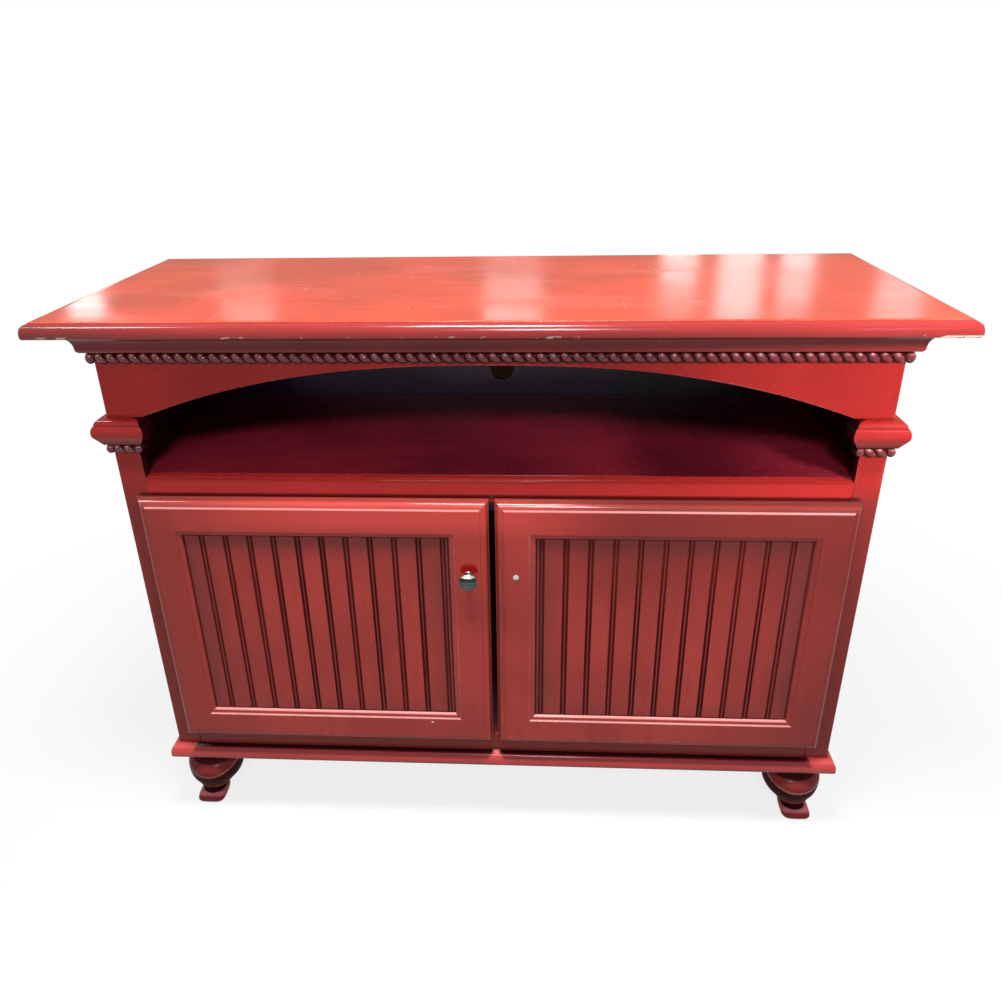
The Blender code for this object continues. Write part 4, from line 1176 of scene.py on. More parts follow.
def wrap_paths():
    """The left side, front and right side of the case, as (name, path, open start, open end)."""
    corners = ((-HALF_BODY, Y_BACK), (-HALF_BODY, Y_FACE), (HALF_BODY, Y_FACE), (HALF_BODY, Y_BACK))
    return (("left", corners[:2], True, False), ("front", corners[1:3], False, False),
            ("right", corners[2:], False, True))


def capital_path(side, sizes):
    """The way round the head of a stile, its face to the right."""
    outer, inner = side * HALF_BODY, side * HALF_BAY
    path = [(outer, Y_FACE + sizes.capital_return), (outer, Y_FACE), (inner, Y_FACE), (inner, Y_FRAME_BACK)]
    return path if side < 0 else path[::-1]


class CONSOLE_OT_mouldings(bpy.types.Operator):
    """Run the cornice under the top and the base moulding round the case, and set the capitals"""
    bl_idname = "console.mouldings"
    bl_label = "Cornice, base and capitals"

    def execute(self, context):
        sizes = context.scene.console_mouldings
        runs = (("cornice_", self.cornice(sizes), Z_CORNICE, "cornice_"),
                ("base_", self.base(sizes), Z_CASE, "base_moulding_"))
        for name, path, open_start, open_end in wrap_paths():
            for label, section, foot, node in runs:
                skin = Skin()
                skin.moulding(section, path, foot, open_start, open_end)
                place(skin.piece(label + name + "_run", "trim"), "carcass", "trim", node + name)
        bell = self.capital(sizes)
        for name, side in SIDES:
            skin = Skin()
            skin.moulding(bell, capital_path(side, sizes), Z_CAPITAL)
            piece = skin.piece("capital_{}_bell".format(name), "capital")
            place(piece, "carcass", "capital", "capital_" + name)
        return {"FINISHED"}

    def cornice(self, sizes):
        """Section of the cornice: a roll over the rope, a cove and a fillet."""
        rope_out = Y_FACE - low("rope_front").y - GAP
        head = sizes.roll_height + sizes.cove_height
        top = Z_TOP - GAP - Z_CORNICE
        ledge = rope_out + sizes.roll_out + sizes.cove_out
        edge = ledge + sizes.fillet_out
        section = [dot(0.0, 0.0), dot(rope_out - 0.004, 0.0, 0.0, 0.9)]
        section += arc((rope_out, sizes.roll_height), (sizes.roll_out, sizes.roll_height), -90, 0, 10)
        section += arc((ledge, sizes.roll_height), (sizes.cove_out, sizes.cove_height), 180, 90, 16)[1:]
        section += [dot(edge - 0.0004, head, 0.8), dot(edge, head + 0.0004, 0.9), dot(edge, head + 0.003)]
        return section + [dot(edge, top, 0.0, 0.9), dot(0.0, top)]

    def base(self, sizes):
        """Section of the base moulding: a nose that turns back under, and a sloping ledge over it."""
        turn = sizes.under_height
        out = Y_FACE - low("base_moulding_front").y - GAP
        height = high("base_moulding_front").z - Z_CASE
        section = [dot(0.0, 0.0)]
        for first, last, steps, worn in ((-90, -45, 4, 0.3), (-30, 0, 4, 0.45)):
            section += arc((out - sizes.under_out, turn), (sizes.under_out, turn), first, last, steps, worn)
        nose = (out - sizes.ledge, sizes.round_height)
        for first, last, steps, worn in ((8, 80, 10, 0.1), (84, 90, 2, 0.6)):
            section += arc((sizes.ledge, turn), nose, first, last, steps, worn)
        # The top of the ledge and its joint with the rail carry tags that paint them dark as the doors'
        # shadow
        section += [dot(sizes.ledge * 0.6, height - 0.0016, 0.0, 0.3), dot(0.0022, height - 0.0008, 0.0, 1.0)]
        return section + [dot(0.0, height, 0.0, 1.2)]

    def capital(self, sizes):
        """Section of a capital: a flare, a swelling band and a cap set back over it."""
        out = Y_FACE - low("capital_left").y - GAP
        top = high("capital_left").z - Z_CAPITAL
        middle = (out - sizes.swell_out, sizes.flare + sizes.swell_height / 2)
        band = arc(middle, (sizes.swell_out, sizes.swell_height), -30, 61, 14)
        start, level = band[0][:2]
        edge, foot = band[-1][:2]
        band[0] = dot(start, level, 0.55)
        band[-1] = dot(edge, foot, 0.45)
        section = [dot(0.0, 0.0), dot(sizes.bell_foot, 0.0, 0.0, 0.9)]
        section += [dot(sizes.bell_foot + 0.0004, 0.0006, 0.0, 0.7)]
        section += [dot(start - 0.0010, level - 0.0016, 0.0, 0.2)]
        section += band + [dot(edge - sizes.quirk, foot, 0.0, 1.0)]
        section += arc((sizes.cap_out, foot), (edge - sizes.quirk - sizes.cap_out, top - foot), 6, 90, 10)
        return section + [dot(0.0, top, 0.0, 0.8)]


class CONSOLE_OT_ropes(bpy.types.Operator):
    """Twist the ropes under the cornice and round the heads of the stiles"""
    bl_idname = "console.ropes"
    bl_label = "Twisted ropes"

    def execute(self, context):
        sizes = context.scene.console_mouldings
        height = high("rope_front").z - Z_ROPE
        out = Y_FACE - low("rope_front").y - GAP
        twist = self.twist("rope_twist", height, out, sizes.twist_pitch, sizes.twist_lean)
        for name, path, open_start, open_end in wrap_paths():
            skin = Skin()
            skin.moulding(self.core(height, out), path, Z_ROPE, open_start, open_end)
            if name == "front":
                for corner, across in zip(path, (-1, 1)):
                    self.knuckle(skin, corner, across, Z_ROPE, height, out)
            piece = skin.piece("rope_{}_run".format(name), "rope")
            self.strand(piece, twist, path, Z_ROPE, out, sizes.twist_pitch, open_start, open_end)
            settle(piece)
            place(piece, "carcass", "rope", "rope_" + name)
        discard(twist)
        height = high("capital_rope_left").z - Z_NECK_ROPE
        out = Y_FACE - low("capital_rope_left").y - GAP
        twist = self.twist("neck_twist", height, out, sizes.twist_pitch, sizes.twist_lean)
        for name, side in SIDES:
            path = capital_path(side, sizes)
            skin = Skin()
            skin.moulding(self.core(height, out), path, Z_NECK_ROPE)
            for corner in path[1:3]:
                across = side if abs(corner[0]) > HALF_BAY + GAP else -side
                self.knuckle(skin, corner, across, Z_NECK_ROPE, height, out)
            piece = skin.piece("neck_rope_" + name, "rope")
            for k in range(3):
                self.strand(piece, twist, path[k:k + 2], Z_NECK_ROPE, out, sizes.twist_pitch, k == 0, k == 2)
            settle(piece)
            place(piece, "carcass", "rope", "capital_rope_" + name)
        discard(twist)
        return {"FINISHED"}

    def core(self, height, out):
        """The half round under the twists, painted dark as their shadow."""
        return arc((0.0, height / 2), (out * 0.62, height * 0.38), -90, 90, 8, 0.0, 0.9)

    def knuckle(self, skin, corner, across, foot, height, out):
        """The round twist that turns a corner of the rope, at its left (-1) or right (1)."""
        aside = out * 0.28
        middle = (corner[0] + across * aside, corner[1] - aside, foot)
        radii = (out * 0.74, height * 0.47)
        ball = []
        # Painted shade low and high on the knuckle, and a painted highlight on its upper face
        for first, last, steps, worn, glaze in ((-86, -42, 4, 0.0, 1.0), (-30, 20, 5, 0.25, 0.1),
                                                (30, 50, 3, 0.8, 0.0), (60, 86, 3, 0.0, 0.9)):
            ball += arc((0.0, height / 2), radii, first, last, steps, worn, glaze)
        skin.turning(middle, (0.0, 0.0, 1.0), ball, sides=24)

    def twist(self, name, height, out, pitch, lean):
        """One twist of the rope, leaning as it rises, with its face to the front."""
        steps, sides = 8, 10
        half_turn = math.radians(84)
        rings = []
        for k in range(steps + 1):
            t = 2 * k / steps - 1
            turn = half_turn * t
            full = math.sqrt(max(1 - 0.45 * t * t, 0.0))
            ring = []
            for j in range(sides):
                spin = 2 * math.pi * j / sides
                ahead, aside = math.cos(spin), math.sin(spin)
                reach = 0.46 + 0.53 * ahead * (0.55 + 0.45 * full)
                x = -lean / 2 * t * 0.90 + pitch / 2 * aside * full
                y = -GAP - out * reach * math.cos(turn)
                z = height / 2 * (1 + reach * math.sin(turn))
                # Painted highlight near the crest of each twist, and painted shade on the flanks that turn
                # away
                worn = 1.5 * max(ahead, 0.0) ** 3 * max(1 - 2.4 * abs(t - 0.45), 0.0)
                ring.append((x, y, z, worn, 1.25 * abs(aside) if ahead < 0.6 else 0.0))
            rings.append(ring)
        skin = Skin()
        skin.loft(rings)
        return skin.piece(name, "rope", sharp=60.0)

    def strand(self, piece, twist, path, foot, out, pitch, open_start, open_end):
        """A row of twists along one straight length of a path."""
        start, end = Vector(path[0]), Vector(path[1])
        way = (end - start).normalized()
        start = start if open_start else start + way * out * 0.5
        end = end if open_end else end - way * out * 0.5
        count = max(round((end - start).length / pitch), 1)
        step = (end - start) / count
        first = start + step / 2
        turn = math.atan2(way.y, way.x)
        add_row(piece, twist, "rope", count, (first.x, first.y, foot), (step.x, step.y, 0.0), turn)


# Feet

class CONSOLE_OT_feet(bpy.types.Operator):
    """Turn the four splayed bun feet on their pads"""
    bl_idname = "console.feet"
    bl_label = "Bun feet"

    def execute(self, context):
        sizes = context.scene.console_feet
        for end, way in (("front", -1), ("rear", 1)):
            for name, side in SIDES:
                self.foot("foot_{}_{}".format(end, name), sizes, side, way)
        return {"FINISHED"}

    def profile(self, sizes, node):
        """The turned part of a foot, from its neck to its tenon."""
        ring_top = sizes.bun_level - sizes.bun_depth
        flare = ring_top - 0.017
        # The neck and the flare up to the ring carry tags that paint them dark as shade
        turned = [dot(sizes.neck + 0.003, sizes.pad_height + 0.0002, 0.0, 1.0)]
        turned += [dot(sizes.neck, sizes.pad_height + 0.003, 0.0, 1.2), dot(sizes.neck, flare, 0.0, 1.2)]
        turned += arc((sizes.ring, flare), (sizes.ring - sizes.neck, 0.012), 172, 100, 10, 0.0, 1.2)
        turned += arc((sizes.ring - 0.0024, ring_top - 0.0025), (0.0026, 0.0024), -78, 78, 8, 0.45)
        turned += [dot(sizes.ring - 0.0010, ring_top + 0.0006, 0.0, 1.2)]
        middle = (sizes.bun - sizes.bun_round, sizes.bun_level)
        lower = (sizes.bun_round, sizes.bun_depth)
        upper = (sizes.bun_round, sizes.plate_level - sizes.bun_level)
        turned += arc(middle, lower, -66, 0, 24)
        turned += arc(middle, upper, 6, 36, 6)
        # Painted shadow of the base moulding over the top of the bun
        turned += arc(middle, upper, 42, 60, 4, 0.0, 0.8)
        top = low("left_stile").z - GAP
        turned += [dot(sizes.plate, sizes.plate_level, 0.0, 1.0), dot(sizes.plate, top, 0.0, 1.0)]
        return turned + [dot(sizes.tenon, top), dot(sizes.tenon, high(node).z)]

    def shade(self, sizes, inward, rise, worn, glaze):
        """Tags of a point of the bun: painted shade low down and on its inner side, and a pale painted
        highlight at the border.
        """
        border, soft = 0.19, 0.30
        bend = 1.5 if inward > 0 else 0.7
        deep = (sizes.bun_level - rise) / sizes.bun_depth
        past = (deep - border) / soft + bend * inward ** 2
        line = max(1 - abs(past) / soft, 0.0)
        dark = min(max((past - 0.15) / 0.25, 0.0), 1.0)
        return max(worn, 1.1 * line), max(glaze, 1.15 * dark)

    def foot(self, node, sizes, side, way):
        """One foot, sweeping out from its tenon to its pad."""
        near, far = low(node), high(node)
        bun_lean = (1 - sizes.bun_level / sizes.plate_level) ** 2
        x = (near.x + far.x) / 2 - side * sizes.splay_out * bun_lean
        y = (near.y + far.y) / 2 - way * sizes.splay_along * bun_lean
        thick = sizes.pad_height
        pad = [dot(0.0060, 0.0, 0.3), dot(0.0036, 0.0026, 0.1), dot(0.0013, 0.0060), dot(0.0, 0.0095)]
        pad += [dot(0.0, thick - 0.0075, 0.35), dot(0.0004, thick - 0.0055, 0.7)]
        pad += [dot(0.0019, thick - 0.0022, 0.8), dot(0.0038, thick - 0.0002, 0.75)]
        pad += [dot(0.0060, thick, 0.5), dot(0.0110, thick, 0.0, 0.9)]
        turns = [2 * math.pi * k / 96 for k in range(96)]
        rounded = [(math.cos(t), math.sin(t)) for t in turns]
        square = [[math.copysign(abs(part) ** sizes.pad_corner, part) for part in point] for point in rounded]
        half = (sizes.pad_width / 2, sizes.pad_depth / 2)
        stations = [(half[0] - inset, half[1] - inset, square, *rest) for inset, *rest in pad]
        stations += [(radius, radius, rounded, *rest) for radius, *rest in self.profile(sizes, node)]
        rings = []
        for wide, deep, outline, rise, worn, glaze in stations:
            lean = max(1 - rise / sizes.plate_level, 0.0) ** 2
            middle = (x + side * sizes.splay_out * lean, y + way * sizes.splay_along * lean)
            on_bun = sizes.bun_level - 0.95 * sizes.bun_depth < rise < sizes.plate_level
            ring = []
            for a, b in outline:
                tags = self.shade(sizes, -side * a, rise, worn, glaze) if on_bun else (worn, glaze)
                ring.append((middle[0] + wide * a, middle[1] + deep * b, rise, *tags))
            rings.append(ring)
        skin = Skin()
        skin.loft(rings)
        place(skin.piece(node + "_turning", "foot", sharp=30.0), "carcass", "foot", node)


# Doors

class CONSOLE_OT_doors(bpy.types.Operator):
    """Frame the two doors with their moulded edges"""
    bl_idname = "console.doors"
    bl_label = "Door frames"

    def execute(self, context):
        sizes = context.scene.console_doors
        for name, side in SIDES:
            for piece, upright, edge, inward in (
                    ("bottom_rail", False, DOOR_BOTTOM, 1), ("top_rail", False, DOOR_TOP, -1),
                    ("hinge_stile", True, DOOR_OUTER, -1), ("meeting_stile", True, DOOR_INNER, 1)):
                skin = Skin()
                section = self.section(sizes, piece)
                ends = []
                for first in (True, False):
                    ring = []
                    for s, t, worn, glaze in section:
                        if upright:
                            x = edge + inward * s
                            z = DOOR_BOTTOM + s if first else DOOR_TOP - s
                        else:
                            x = DOOR_INNER + s if first else DOOR_OUTER - s
                            z = edge + inward * s
                        ring.append((side * x, Y_DOOR - t, z, worn, glaze))
                    ends.append(ring)
                skin.loft(ends)
                node = "{}_door_{}".format(name, piece)
                place(skin.piece(node + "_moulded", "door", sharp=28.0), name + "_door", "door", node)
        return {"FINISHED"}

    def section(self, sizes, piece):
        """Section of the frame: (in from the outer edge, forward from the back) points."""
        # Wear of the outer and inner arrises, which on the rails also paints their highlight lines
        outer_wear_and_highlight = 0.85 if piece.endswith("rail") else 0.35
        inner_wear_and_highlight = {"bottom_rail": 1.1, "meeting_stile": 0.7}.get(piece, 0.3)
        face = sizes.thickness
        ledge = face - sizes.step
        inner = sizes.frame + sizes.stick
        groove_front = sizes.panel_back + sizes.panel + 2 * GAP
        points = [dot(0.0, 0.0)]
        if piece == "hinge_stile":
            width = DOOR_OUTER - abs(high("left_door_lower_hinge_pin").x) + sizes.rebate
            points = [dot(width, 0.0), dot(width, sizes.rebate), dot(0.0, sizes.rebate)]
        reach = sizes.edge - sizes.fillet
        points += [dot(0.0, sizes.lip - 0.0006, 0.0, 0.2), dot(0.0006, sizes.lip, 0.0, 0.3)]
        points += [dot(sizes.shoulder - 0.0004, sizes.lip, 0.0, 0.7)]
        points += [dot(sizes.shoulder, sizes.lip + 0.0004, 0.0, 0.7)]
        points += arc((reach, sizes.lip), (reach - sizes.shoulder, ledge - sizes.lip), 174, 94, 12)
        points += [dot(reach, ledge, 0.0, 0.3), dot(sizes.edge - 0.0003, ledge, 0.2, 0.3)]
        points += [dot(sizes.edge, face - 0.0008, 0.3), dot(sizes.edge + 0.0003, face - 0.0002, outer_wear_and_highlight)]
        points += [dot(sizes.edge + 0.0009, face, outer_wear_and_highlight), dot(sizes.edge + 0.004, face)]
        low_line = groove_front + sizes.stick_step / 2
        points += [dot(sizes.frame - 0.004, face), dot(sizes.frame - 0.0008, face, inner_wear_and_highlight)]
        points += [dot(sizes.frame, face - 0.0006, inner_wear_and_highlight)]
        points += [dot(sizes.frame, face - sizes.stick_step + 0.0003, 0.0, 0.6)]
        ovolo = (sizes.stick - sizes.stick_step, face - sizes.stick_step - low_line)
        for first, last, steps, worn, glaze in ((88, 30, 8, 0.0, 0.0), (24, 10, 3, inner_wear_and_highlight, 0.0),
                                                (6, 0, 2, 0.0, 1.0)):
            points += arc((sizes.frame, low_line), ovolo, first, last, steps, worn, glaze)
        points += [dot(inner - 0.0004, low_line, 0.0, 0.9), dot(inner, low_line - 0.0004, 0.0, 1.0)]
        points += [dot(inner, groove_front, 0.0, 1.0), dot(inner - sizes.groove, groove_front)]
        points += [dot(inner - sizes.groove, sizes.panel_back), dot(inner, sizes.panel_back), dot(inner, 0.0)]
        return points


class CONSOLE_OT_panels(bpy.types.Operator):
    """Fill the doors with beaded boards"""
    bl_idname = "console.panels"
    bl_label = "Beaded panels"

    def execute(self, context):
        sizes = context.scene.console_doors
        for name, side in SIDES:
            node = name + "_door_bead_panel"
            bottom, top = low(node).z, high(node).z
            back, front = high(node).y, low(node).y
            field = DOOR_INNER + sizes.frame + sizes.stick
            start = field + sizes.bead_margin - sizes.bead - sizes.quirk
            seam = 0.0002
            near = min(abs(low(node).x), abs(high(node).x))
            far = max(abs(low(node).x), abs(high(node).x))
            count = int((far - start) / sizes.bead_pitch)
            plank = Skin()
            outline = [dot(0.0, back)] + self.bead(sizes, front)
            outline += [dot(sizes.bead_pitch - seam, front, 0.0, 1.2), dot(sizes.bead_pitch - seam, back)]
            plank.loft([[(side * x, y, z, *tags) for x, y, *tags in outline] for z in (bottom, top)])
            pattern = plank.piece("bead_plank", "door", sharp=40.0)
            edge = Skin()
            for first, last in ((near, start - seam), (start + count * sizes.bead_pitch, far)):
                strip = ((first, back), (first, front), (last, front), (last, back))
                edge.loft([[(side * x, y, z, 0.0, 0.0) for x, y in strip] for z in (bottom, top)])
            piece = edge.piece(name + "_door_beads", "door", sharp=40.0)
            step = (side * sizes.bead_pitch, 0.0, 0.0)
            add_row(piece, pattern, "door", count, (side * start, 0.0, 0.0), step, seed=5 + side)
            settle(piece)
            discard(pattern)
            place(piece, name + "_door", "door", node)
        return {"FINISHED"}

    def bead(self, sizes, front):
        """Section of one bead between its two quirks, and the flat of the board beside it."""
        middle = sizes.bead + sizes.quirk
        round_by = sizes.bead - sizes.quirk * 0.9
        deep = front + sizes.quirk_depth
        section = [dot(0.0, front, 0.0, 1.2), dot(sizes.quirk * 0.3, front + 0.0003, 0.0, 1.5)]
        section += [dot(sizes.quirk * 0.6, deep, 0.0, 1.5), dot(middle - round_by, deep, 0.0, 1.5)]
        for first, last, steps, worn, glaze in ((170, 130, 3, 0.0, 1.1), (115, 65, 4, 0.1, 0.62),
                                                (50, 10, 3, 0.0, 1.1)):
            section += arc((middle, deep), (round_by, -sizes.quirk_depth), first, last, steps, worn, glaze)
        section += [dot(middle + round_by, deep, 0.0, 1.5)]
        section += [dot(2 * middle - sizes.quirk * 0.6, deep, 0.0, 1.5)]
        section += [dot(2 * middle - sizes.quirk * 0.3, front + 0.0003, 0.0, 1.5)]
        section += [dot(2 * middle, front, 0.0, 1.2), dot(2 * middle + 0.0022, front, 0.0, 0.15)]
        section += [dot(sizes.bead_pitch - 0.0022, front, 0.0, 0.15)]
        return section


# Knob, screws and hinges

class CONSOLE_OT_knob(bpy.types.Operator):
    """Turn the pewter knob, its screw and the bare screw of the other door"""
    bl_idname = "console.knob"
    bl_label = "Knob and screws"

    def execute(self, context):
        face = high("knob").y
        reach = face - low("knob").y
        radius = (high("knob").x - low("knob").x) / 2
        rim = reach - 0.007
        profile = [dot(0.0033, 0.0), dot(0.0098, 0.0, 0.0, 0.8), dot(0.0100, 0.0010, 0.6)]
        profile += [dot(0.0092, 0.0022, 0.6), dot(0.0070, 0.0030, 0.0, 0.9)]
        profile += [dot(0.0060, 0.0050, 0.0, 0.3), dot(0.0062, 0.0100, 0.0, 0.2)]
        profile += arc((0.0067, rim), (radius - 0.0067, 0.007), -88, -10, 10)
        profile += [dot(radius, rim - 0.0006, 0.9), dot(radius, rim + 0.0008, 1.0)]
        profile += [dot(radius - 0.0006, rim + 0.0018, 1.0), dot(radius - 0.0016, rim + 0.0020, 0.0, 0.9)]
        profile += [dot(radius - 0.0022, rim + 0.0018, 0.0, 1.0)]
        profile += arc((0.0, rim + 0.0016), (radius - 0.0028, 0.0052), 4, 86, 12)
        skin = Skin()
        skin.turning((KNOB_X, face, KNOB_Z), (0.0, -1.0, 0.0), profile, sides=48)
        place(skin.piece("pewter_knob", "pewter", sharp=40.0), "left_door", "pewter", "knob")
        self.screw("knob_screw", "left_door", -1)
        self.screw("bare_knob_screw", "right_door", 1)
        return {"FINISHED"}

    def screw(self, node, body, way):
        """A machine screw; its way is -1 to the front, with the head behind the door."""
        near, far = low(node), high(node)
        x, z = (near.x + far.x) / 2, (near.z + far.z) / 2
        head = (far.x - near.x) / 2
        total = far.y - near.y
        shank = head * 0.6
        root = shank * 0.84
        thick = 0.0020
        profile = [dot(0.0004, 0.0, 0.6), dot(head * 0.8, 0.0, 0.6), dot(head, 0.0006, 0.8)]
        profile += [dot(head, thick), dot(shank, thick)]
        turns = 26
        pitch = (total - thick - 0.0010) / turns
        for k in range(turns):
            foot = thick + 0.0001 + k * pitch
            profile += [dot(root, foot, 0.0, 0.8), dot(shank, foot + pitch * 0.45, 0.7)]
            profile += [dot(shank, foot + pitch * 0.60, 0.7)]
        profile += [dot(root, total - 0.0008, 0.4), dot(shank * 0.6, total, 1.0), dot(0.0002, total, 1.0)]
        skin = Skin()
        skin.turning((x, far.y if way < 0 else near.y, z), (0.0, way, 0.0), profile, sides=24)
        place(skin.piece(node + "_thread", "steel", sharp=50.0), body, "steel", node)


class CONSOLE_OT_hinges(bpy.types.Operator):
    """Finish the hinges, strikes and their slotted screws"""
    bl_idname = "console.hinges"
    bl_label = "Hinges and strikes"

    def execute(self, context):
        pattern = self.head(-1)
        turned_pattern = self.head(1)
        leaf_thick, from_pin = 0.0012, 0.0082
        frame_screws = Skin().piece("frame_leaf_screws", "brass")
        for name, side in SIDES:
            door_screws = Skin().piece(name + "_door_leaf_screws", "brass")
            for level in ("lower", "upper"):
                label = "{}_door_{}_hinge_".format(name, level)
                for part in ("frame_leaf", "door_leaf", "pin"):
                    dress(label + part, "brass")
                leaf = label + "frame_leaf"
                x = (low(label + "pin").x + high(label + "pin").x) / 2 - side * from_pin
                start, end = low(leaf).z, high(leaf).z
                step = (end - start) / 3
                first = start + step / 2
                face = Y_FACE - GAP - leaf_thick
                add_row(frame_screws, pattern, "brass", 3, (x, face, first), (0.0, 0.0, step))
                face = Y_DOOR + GAP + leaf_thick
                add_row(door_screws, turned_pattern, "brass", 3, (x, face, first), (0.0, 0.0, step))
            settle(door_screws)
            place(door_screws, name + "_door", "brass")
            dress(name + "_door_strike_plate", "steel")
        settle(frame_screws)
        place(frame_screws, "carcass", "brass")
        discard(pattern)
        discard(turned_pattern)
        return {"FINISHED"}

    def head(self, way):
        """A slotted screw head: two half rounds beside a slot, flush in its leaf."""
        skin = Skin()
        slot, radius = 0.00025, 0.0019
        turns = [math.radians(24 + 22 * k) for k in range(7)]
        edge = [(slot, -0.0018), (slot, 0.0018)]
        edge += [(radius * math.sin(t), radius * math.cos(t)) for t in turns]
        for half in (-1, 1):
            rings = []
            for depth, size in ((-0.0004, 0.8), (0.00004, 1.0), (0.00009, 0.94)):
                rings.append([(half * x * size, way * depth, z * size, 0.5, 0.2) for x, z in edge])
            skin.loft(rings)
        return skin.piece("screw_head", "brass", sharp=40.0)


# Stage

class CONSOLE_OT_stage(bpy.types.Operator):
    """Set the pale floor, soft lamps, mirrored panes, white surround, film and camera"""
    bl_idname = "console.stage"
    bl_label = "Stage"

    def execute(self, context):
        scene = context.scene
        lights = scene.console_stage
        scene.view_settings.view_transform = "Standard"
        self.floor(scene)
        self.surround(scene, lights.world)
        self.mirrored(lights, scene.console_colours)
        self.film(scene.console_colours.film)
        for name, x, wide, part in CEILING_LAMPS:
            self.lamp("ceiling_lamp_" + name, lights.ceiling * part, spot=(x, -0.66, 2.70),
                      aim=(0.3 * x, -0.20, 0.8), size=(wide, 0.45), mirrored=name != "right")
        self.lamp("key_lamp", lights.key, spot=(0.15, -3.2, 2.90), aim=(0.0, -0.2, 0.75), size=(0.5, 0.4))
        self.lamp("side_lamp", lights.side, spot=(1.00, -0.98, 1.38), aim=(0.60, -0.2, 0.88),
                  size=(0.20, 0.20), spread=42.0, mirrored=False)
        self.camera(scene)
        return {"FINISHED"}

    def sheet(self, name, corners, material):
        """A flat piece of the stage."""
        skin = Skin()
        start = skin.add([(*corner, 0.0, 0.0) for corner in corners])
        skin.faces.append(tuple(range(start, start + len(corners))))
        piece = bpy.data.objects.new(name, skin.mesh(name))
        piece.data.materials.append(material)
        bpy.context.scene.collection.objects.link(piece)
        return piece

    def floor(self, scene):
        """A wide pale floor that turns white away from the console and keeps its shadow."""
        paint = Paint("studio_floor")
        colour = scene.console_colours.floor
        speck = paint.noise(30.0, 3.0)
        paint.shader_input("Base Color", paint.blend(speck, dimmed(colour, 0.99), dimmed(colour, 1.01)))
        paint.shader_input("Roughness", 0.85 + (speck - 0.5) * 0.1)
        paint.shader_input("Specular IOR Level", 0.1)
        away = (paint.x ** 2.0 + (paint.y - 0.05) ** 2.0) ** 0.5
        clear = paint.seen() * (0.80 + 0.20 * paint.ramp(away, 0.7, 1.8))
        white = paint.node("ShaderNodeEmission", {}, (1.0, 1.0, 1.0), 1.0)
        matt = Wire(paint, paint.shader.outputs[0])
        paint.show(paint.node("ShaderNodeMixShader", {}, clear, matt, white))
        half = 40.0
        corners = [(x * half, y * half, 0.0) for x, y in ((-1, -1), (1, -1), (1, 1), (-1, 1))]
        self.sheet("studio_floor", corners, paint.material).visible_diffuse = False

    def glow(self, name, colour, strength):
        """A plain light-giving card."""
        paint = Paint(name)
        paint.show(paint.node("ShaderNodeEmission", {}, colour, strength))
        return paint.material

    def mirrored(self, lights, tones):
        """A dim warm wall and bright panes behind, which only mirrors see."""
        cards = [("mirrored_wall", *WALL, WALL_Y, tones.mirrored_wall, lights.wall)]
        for k, (x, wide, bottom, top, part) in enumerate(PANES):
            cards.append(("mirrored_pane_%d" % k, x - wide / 2, x + wide / 2, bottom, top, PANES_Y,
                          tones.mirrored_pane, lights.panes * part))
        for name, left, right, bottom, top, y, colour, strength in cards:
            corners = ((left, y, bottom), (right, y, bottom), (right, y, top), (left, y, top))
            card = self.sheet(name, corners, self.glow(name, colour, strength))
            card.visible_camera = False
            card.visible_diffuse = False
            card.visible_shadow = False

    def film(self, colour):
        """A dark see-through sheet in the cable hole, a painted shade so that the white studio does not shine
        through it.
        """
        paint = Paint("smoked_film")
        paint.show(paint.node("ShaderNodeBsdfTransparent", {}, colour))
        y = (low("back_panel").y + high("back_panel").y) / 2
        turns = [2 * math.pi * k / 48 for k in range(48)]
        corners = [(HOLE_RADIUS * math.cos(t), y, HOLE_Z + HOLE_RADIUS * math.sin(t)) for t in turns]
        self.sheet("cable_hole_film", corners, paint.material)

    def surround(self, scene, level):
        """An even world that is white where it is seen directly or mirrored."""
        world = bpy.data.worlds.new("studio")
        sky = Graph(world, "Background")
        sky.shader_input("Color", (1.0, 1.0, 1.0))
        sky.shader_input("Strength", sky.node("ShaderNodeMapRange", {}, sky.seen(), To_Min=level, To_Max=1.0))
        scene.world = world

    def lamp(self, name, watts, spot, aim, size, spread=180.0, mirrored=True):
        """A soft rectangular lamp that fans out by a spread in degrees."""
        data = bpy.data.lights.new(name, "AREA")
        data.shape = "RECTANGLE"
        data.size, data.size_y = size
        data.energy = watts
        data.spread = math.radians(spread)
        lamp = bpy.data.objects.new(name, data)
        lamp.location = spot
        lamp.visible_glossy = mirrored
        lamp.rotation_euler = (Vector(aim) - Vector(spot)).to_track_quat("-Z", "Y").to_euler()
        bpy.context.scene.collection.objects.link(lamp)

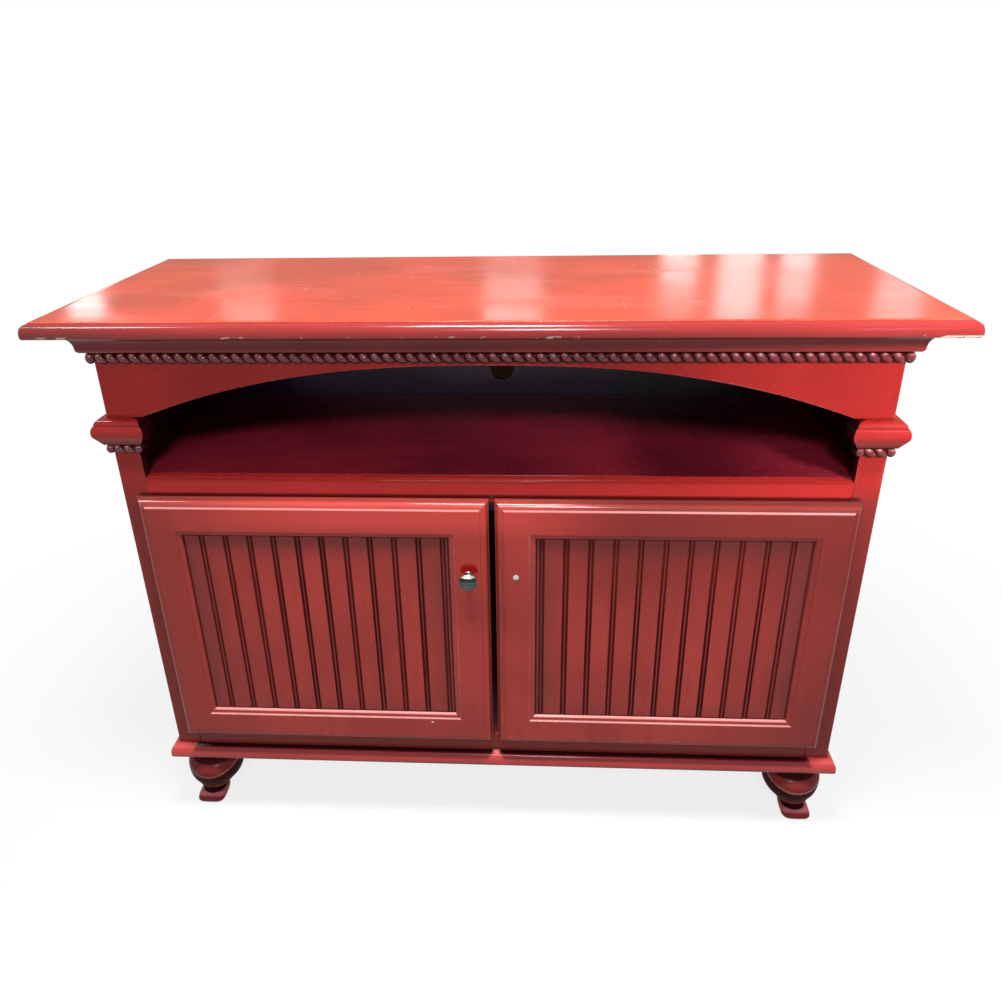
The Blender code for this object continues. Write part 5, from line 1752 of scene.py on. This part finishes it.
    def camera(self, scene):
        """The camera of the photograph, as fitted to the case."""
        data = bpy.data.cameras.new("camera")
        data.sensor_fit = "HORIZONTAL"
        data.sensor_width = SENSOR
        data.lens = LENS
        data.shift_x, data.shift_y = SHIFT
        turn = Matrix.Identity(3)
        for degrees, axis in CAMERA_TURNS:
            turn = turn @ Matrix.Rotation(math.radians(degrees), 3, axis)
        look = Matrix((turn.col[0], turn.col[2], -turn.col[1])).transposed().to_4x4()
        look.translation = CAMERA_PLACE
        camera = bpy.data.objects.new("camera", data)
        camera.matrix_world = look
        scene.collection.objects.link(camera)
        scene.camera = camera


class CONSOLE_PT_panel(bpy.types.Panel):
    """Pieces and stage of the console"""
    bl_label = "Media Console"
    bl_idname = "CONSOLE_PT_panel"
    bl_space_type = "VIEW_3D"
    bl_region_type = "UI"
    bl_category = "Console"

    def draw(self, context):
        for operator in OPERATORS:
            self.layout.operator(operator.bl_idname)
        for name in GROUPS:
            box = self.layout.box()
            group = getattr(context.scene, name)
            for key in group.bl_rna.properties.keys():
                if key not in ("rna_type", "name"):
                    box.prop(group, key)


OPERATORS = (CONSOLE_OT_case, CONSOLE_OT_top, CONSOLE_OT_mouldings, CONSOLE_OT_ropes, CONSOLE_OT_feet,
             CONSOLE_OT_doors, CONSOLE_OT_panels, CONSOLE_OT_knob, CONSOLE_OT_hinges, CONSOLE_OT_stage)
GROUPS = {"console_top": ConsoleTopSizes, "console_mouldings": ConsoleMouldingSizes,
          "console_case": ConsoleCaseSizes, "console_feet": ConsoleFootSizes,
          "console_doors": ConsoleDoorSizes, "console_colours": ConsoleColours,
          "console_wear": ConsoleWear, "console_stage": ConsoleStageSettings}


def register():
    """Register the groups, operators and panel."""
    for name, group in GROUPS.items():
        bpy.utils.register_class(group)
        setattr(bpy.types.Scene, name, bpy.props.PointerProperty(type=group))
    for operator in OPERATORS:
        bpy.utils.register_class(operator)
    bpy.utils.register_class(CONSOLE_PT_panel)


def unregister():
    """Take the panel, operators and groups away again."""
    bpy.utils.unregister_class(CONSOLE_PT_panel)
    for operator in reversed(OPERATORS):
        bpy.utils.unregister_class(operator)
    for name, group in GROUPS.items():
        delattr(bpy.types.Scene, name)
        bpy.utils.unregister_class(group)


def main():
    """Build every piece and set the stage."""
    register()
    for operator in OPERATORS:
        group, name = operator.bl_idname.split(".")
        getattr(getattr(bpy.ops, group), name)()


if __name__ == "__main__":
    main()
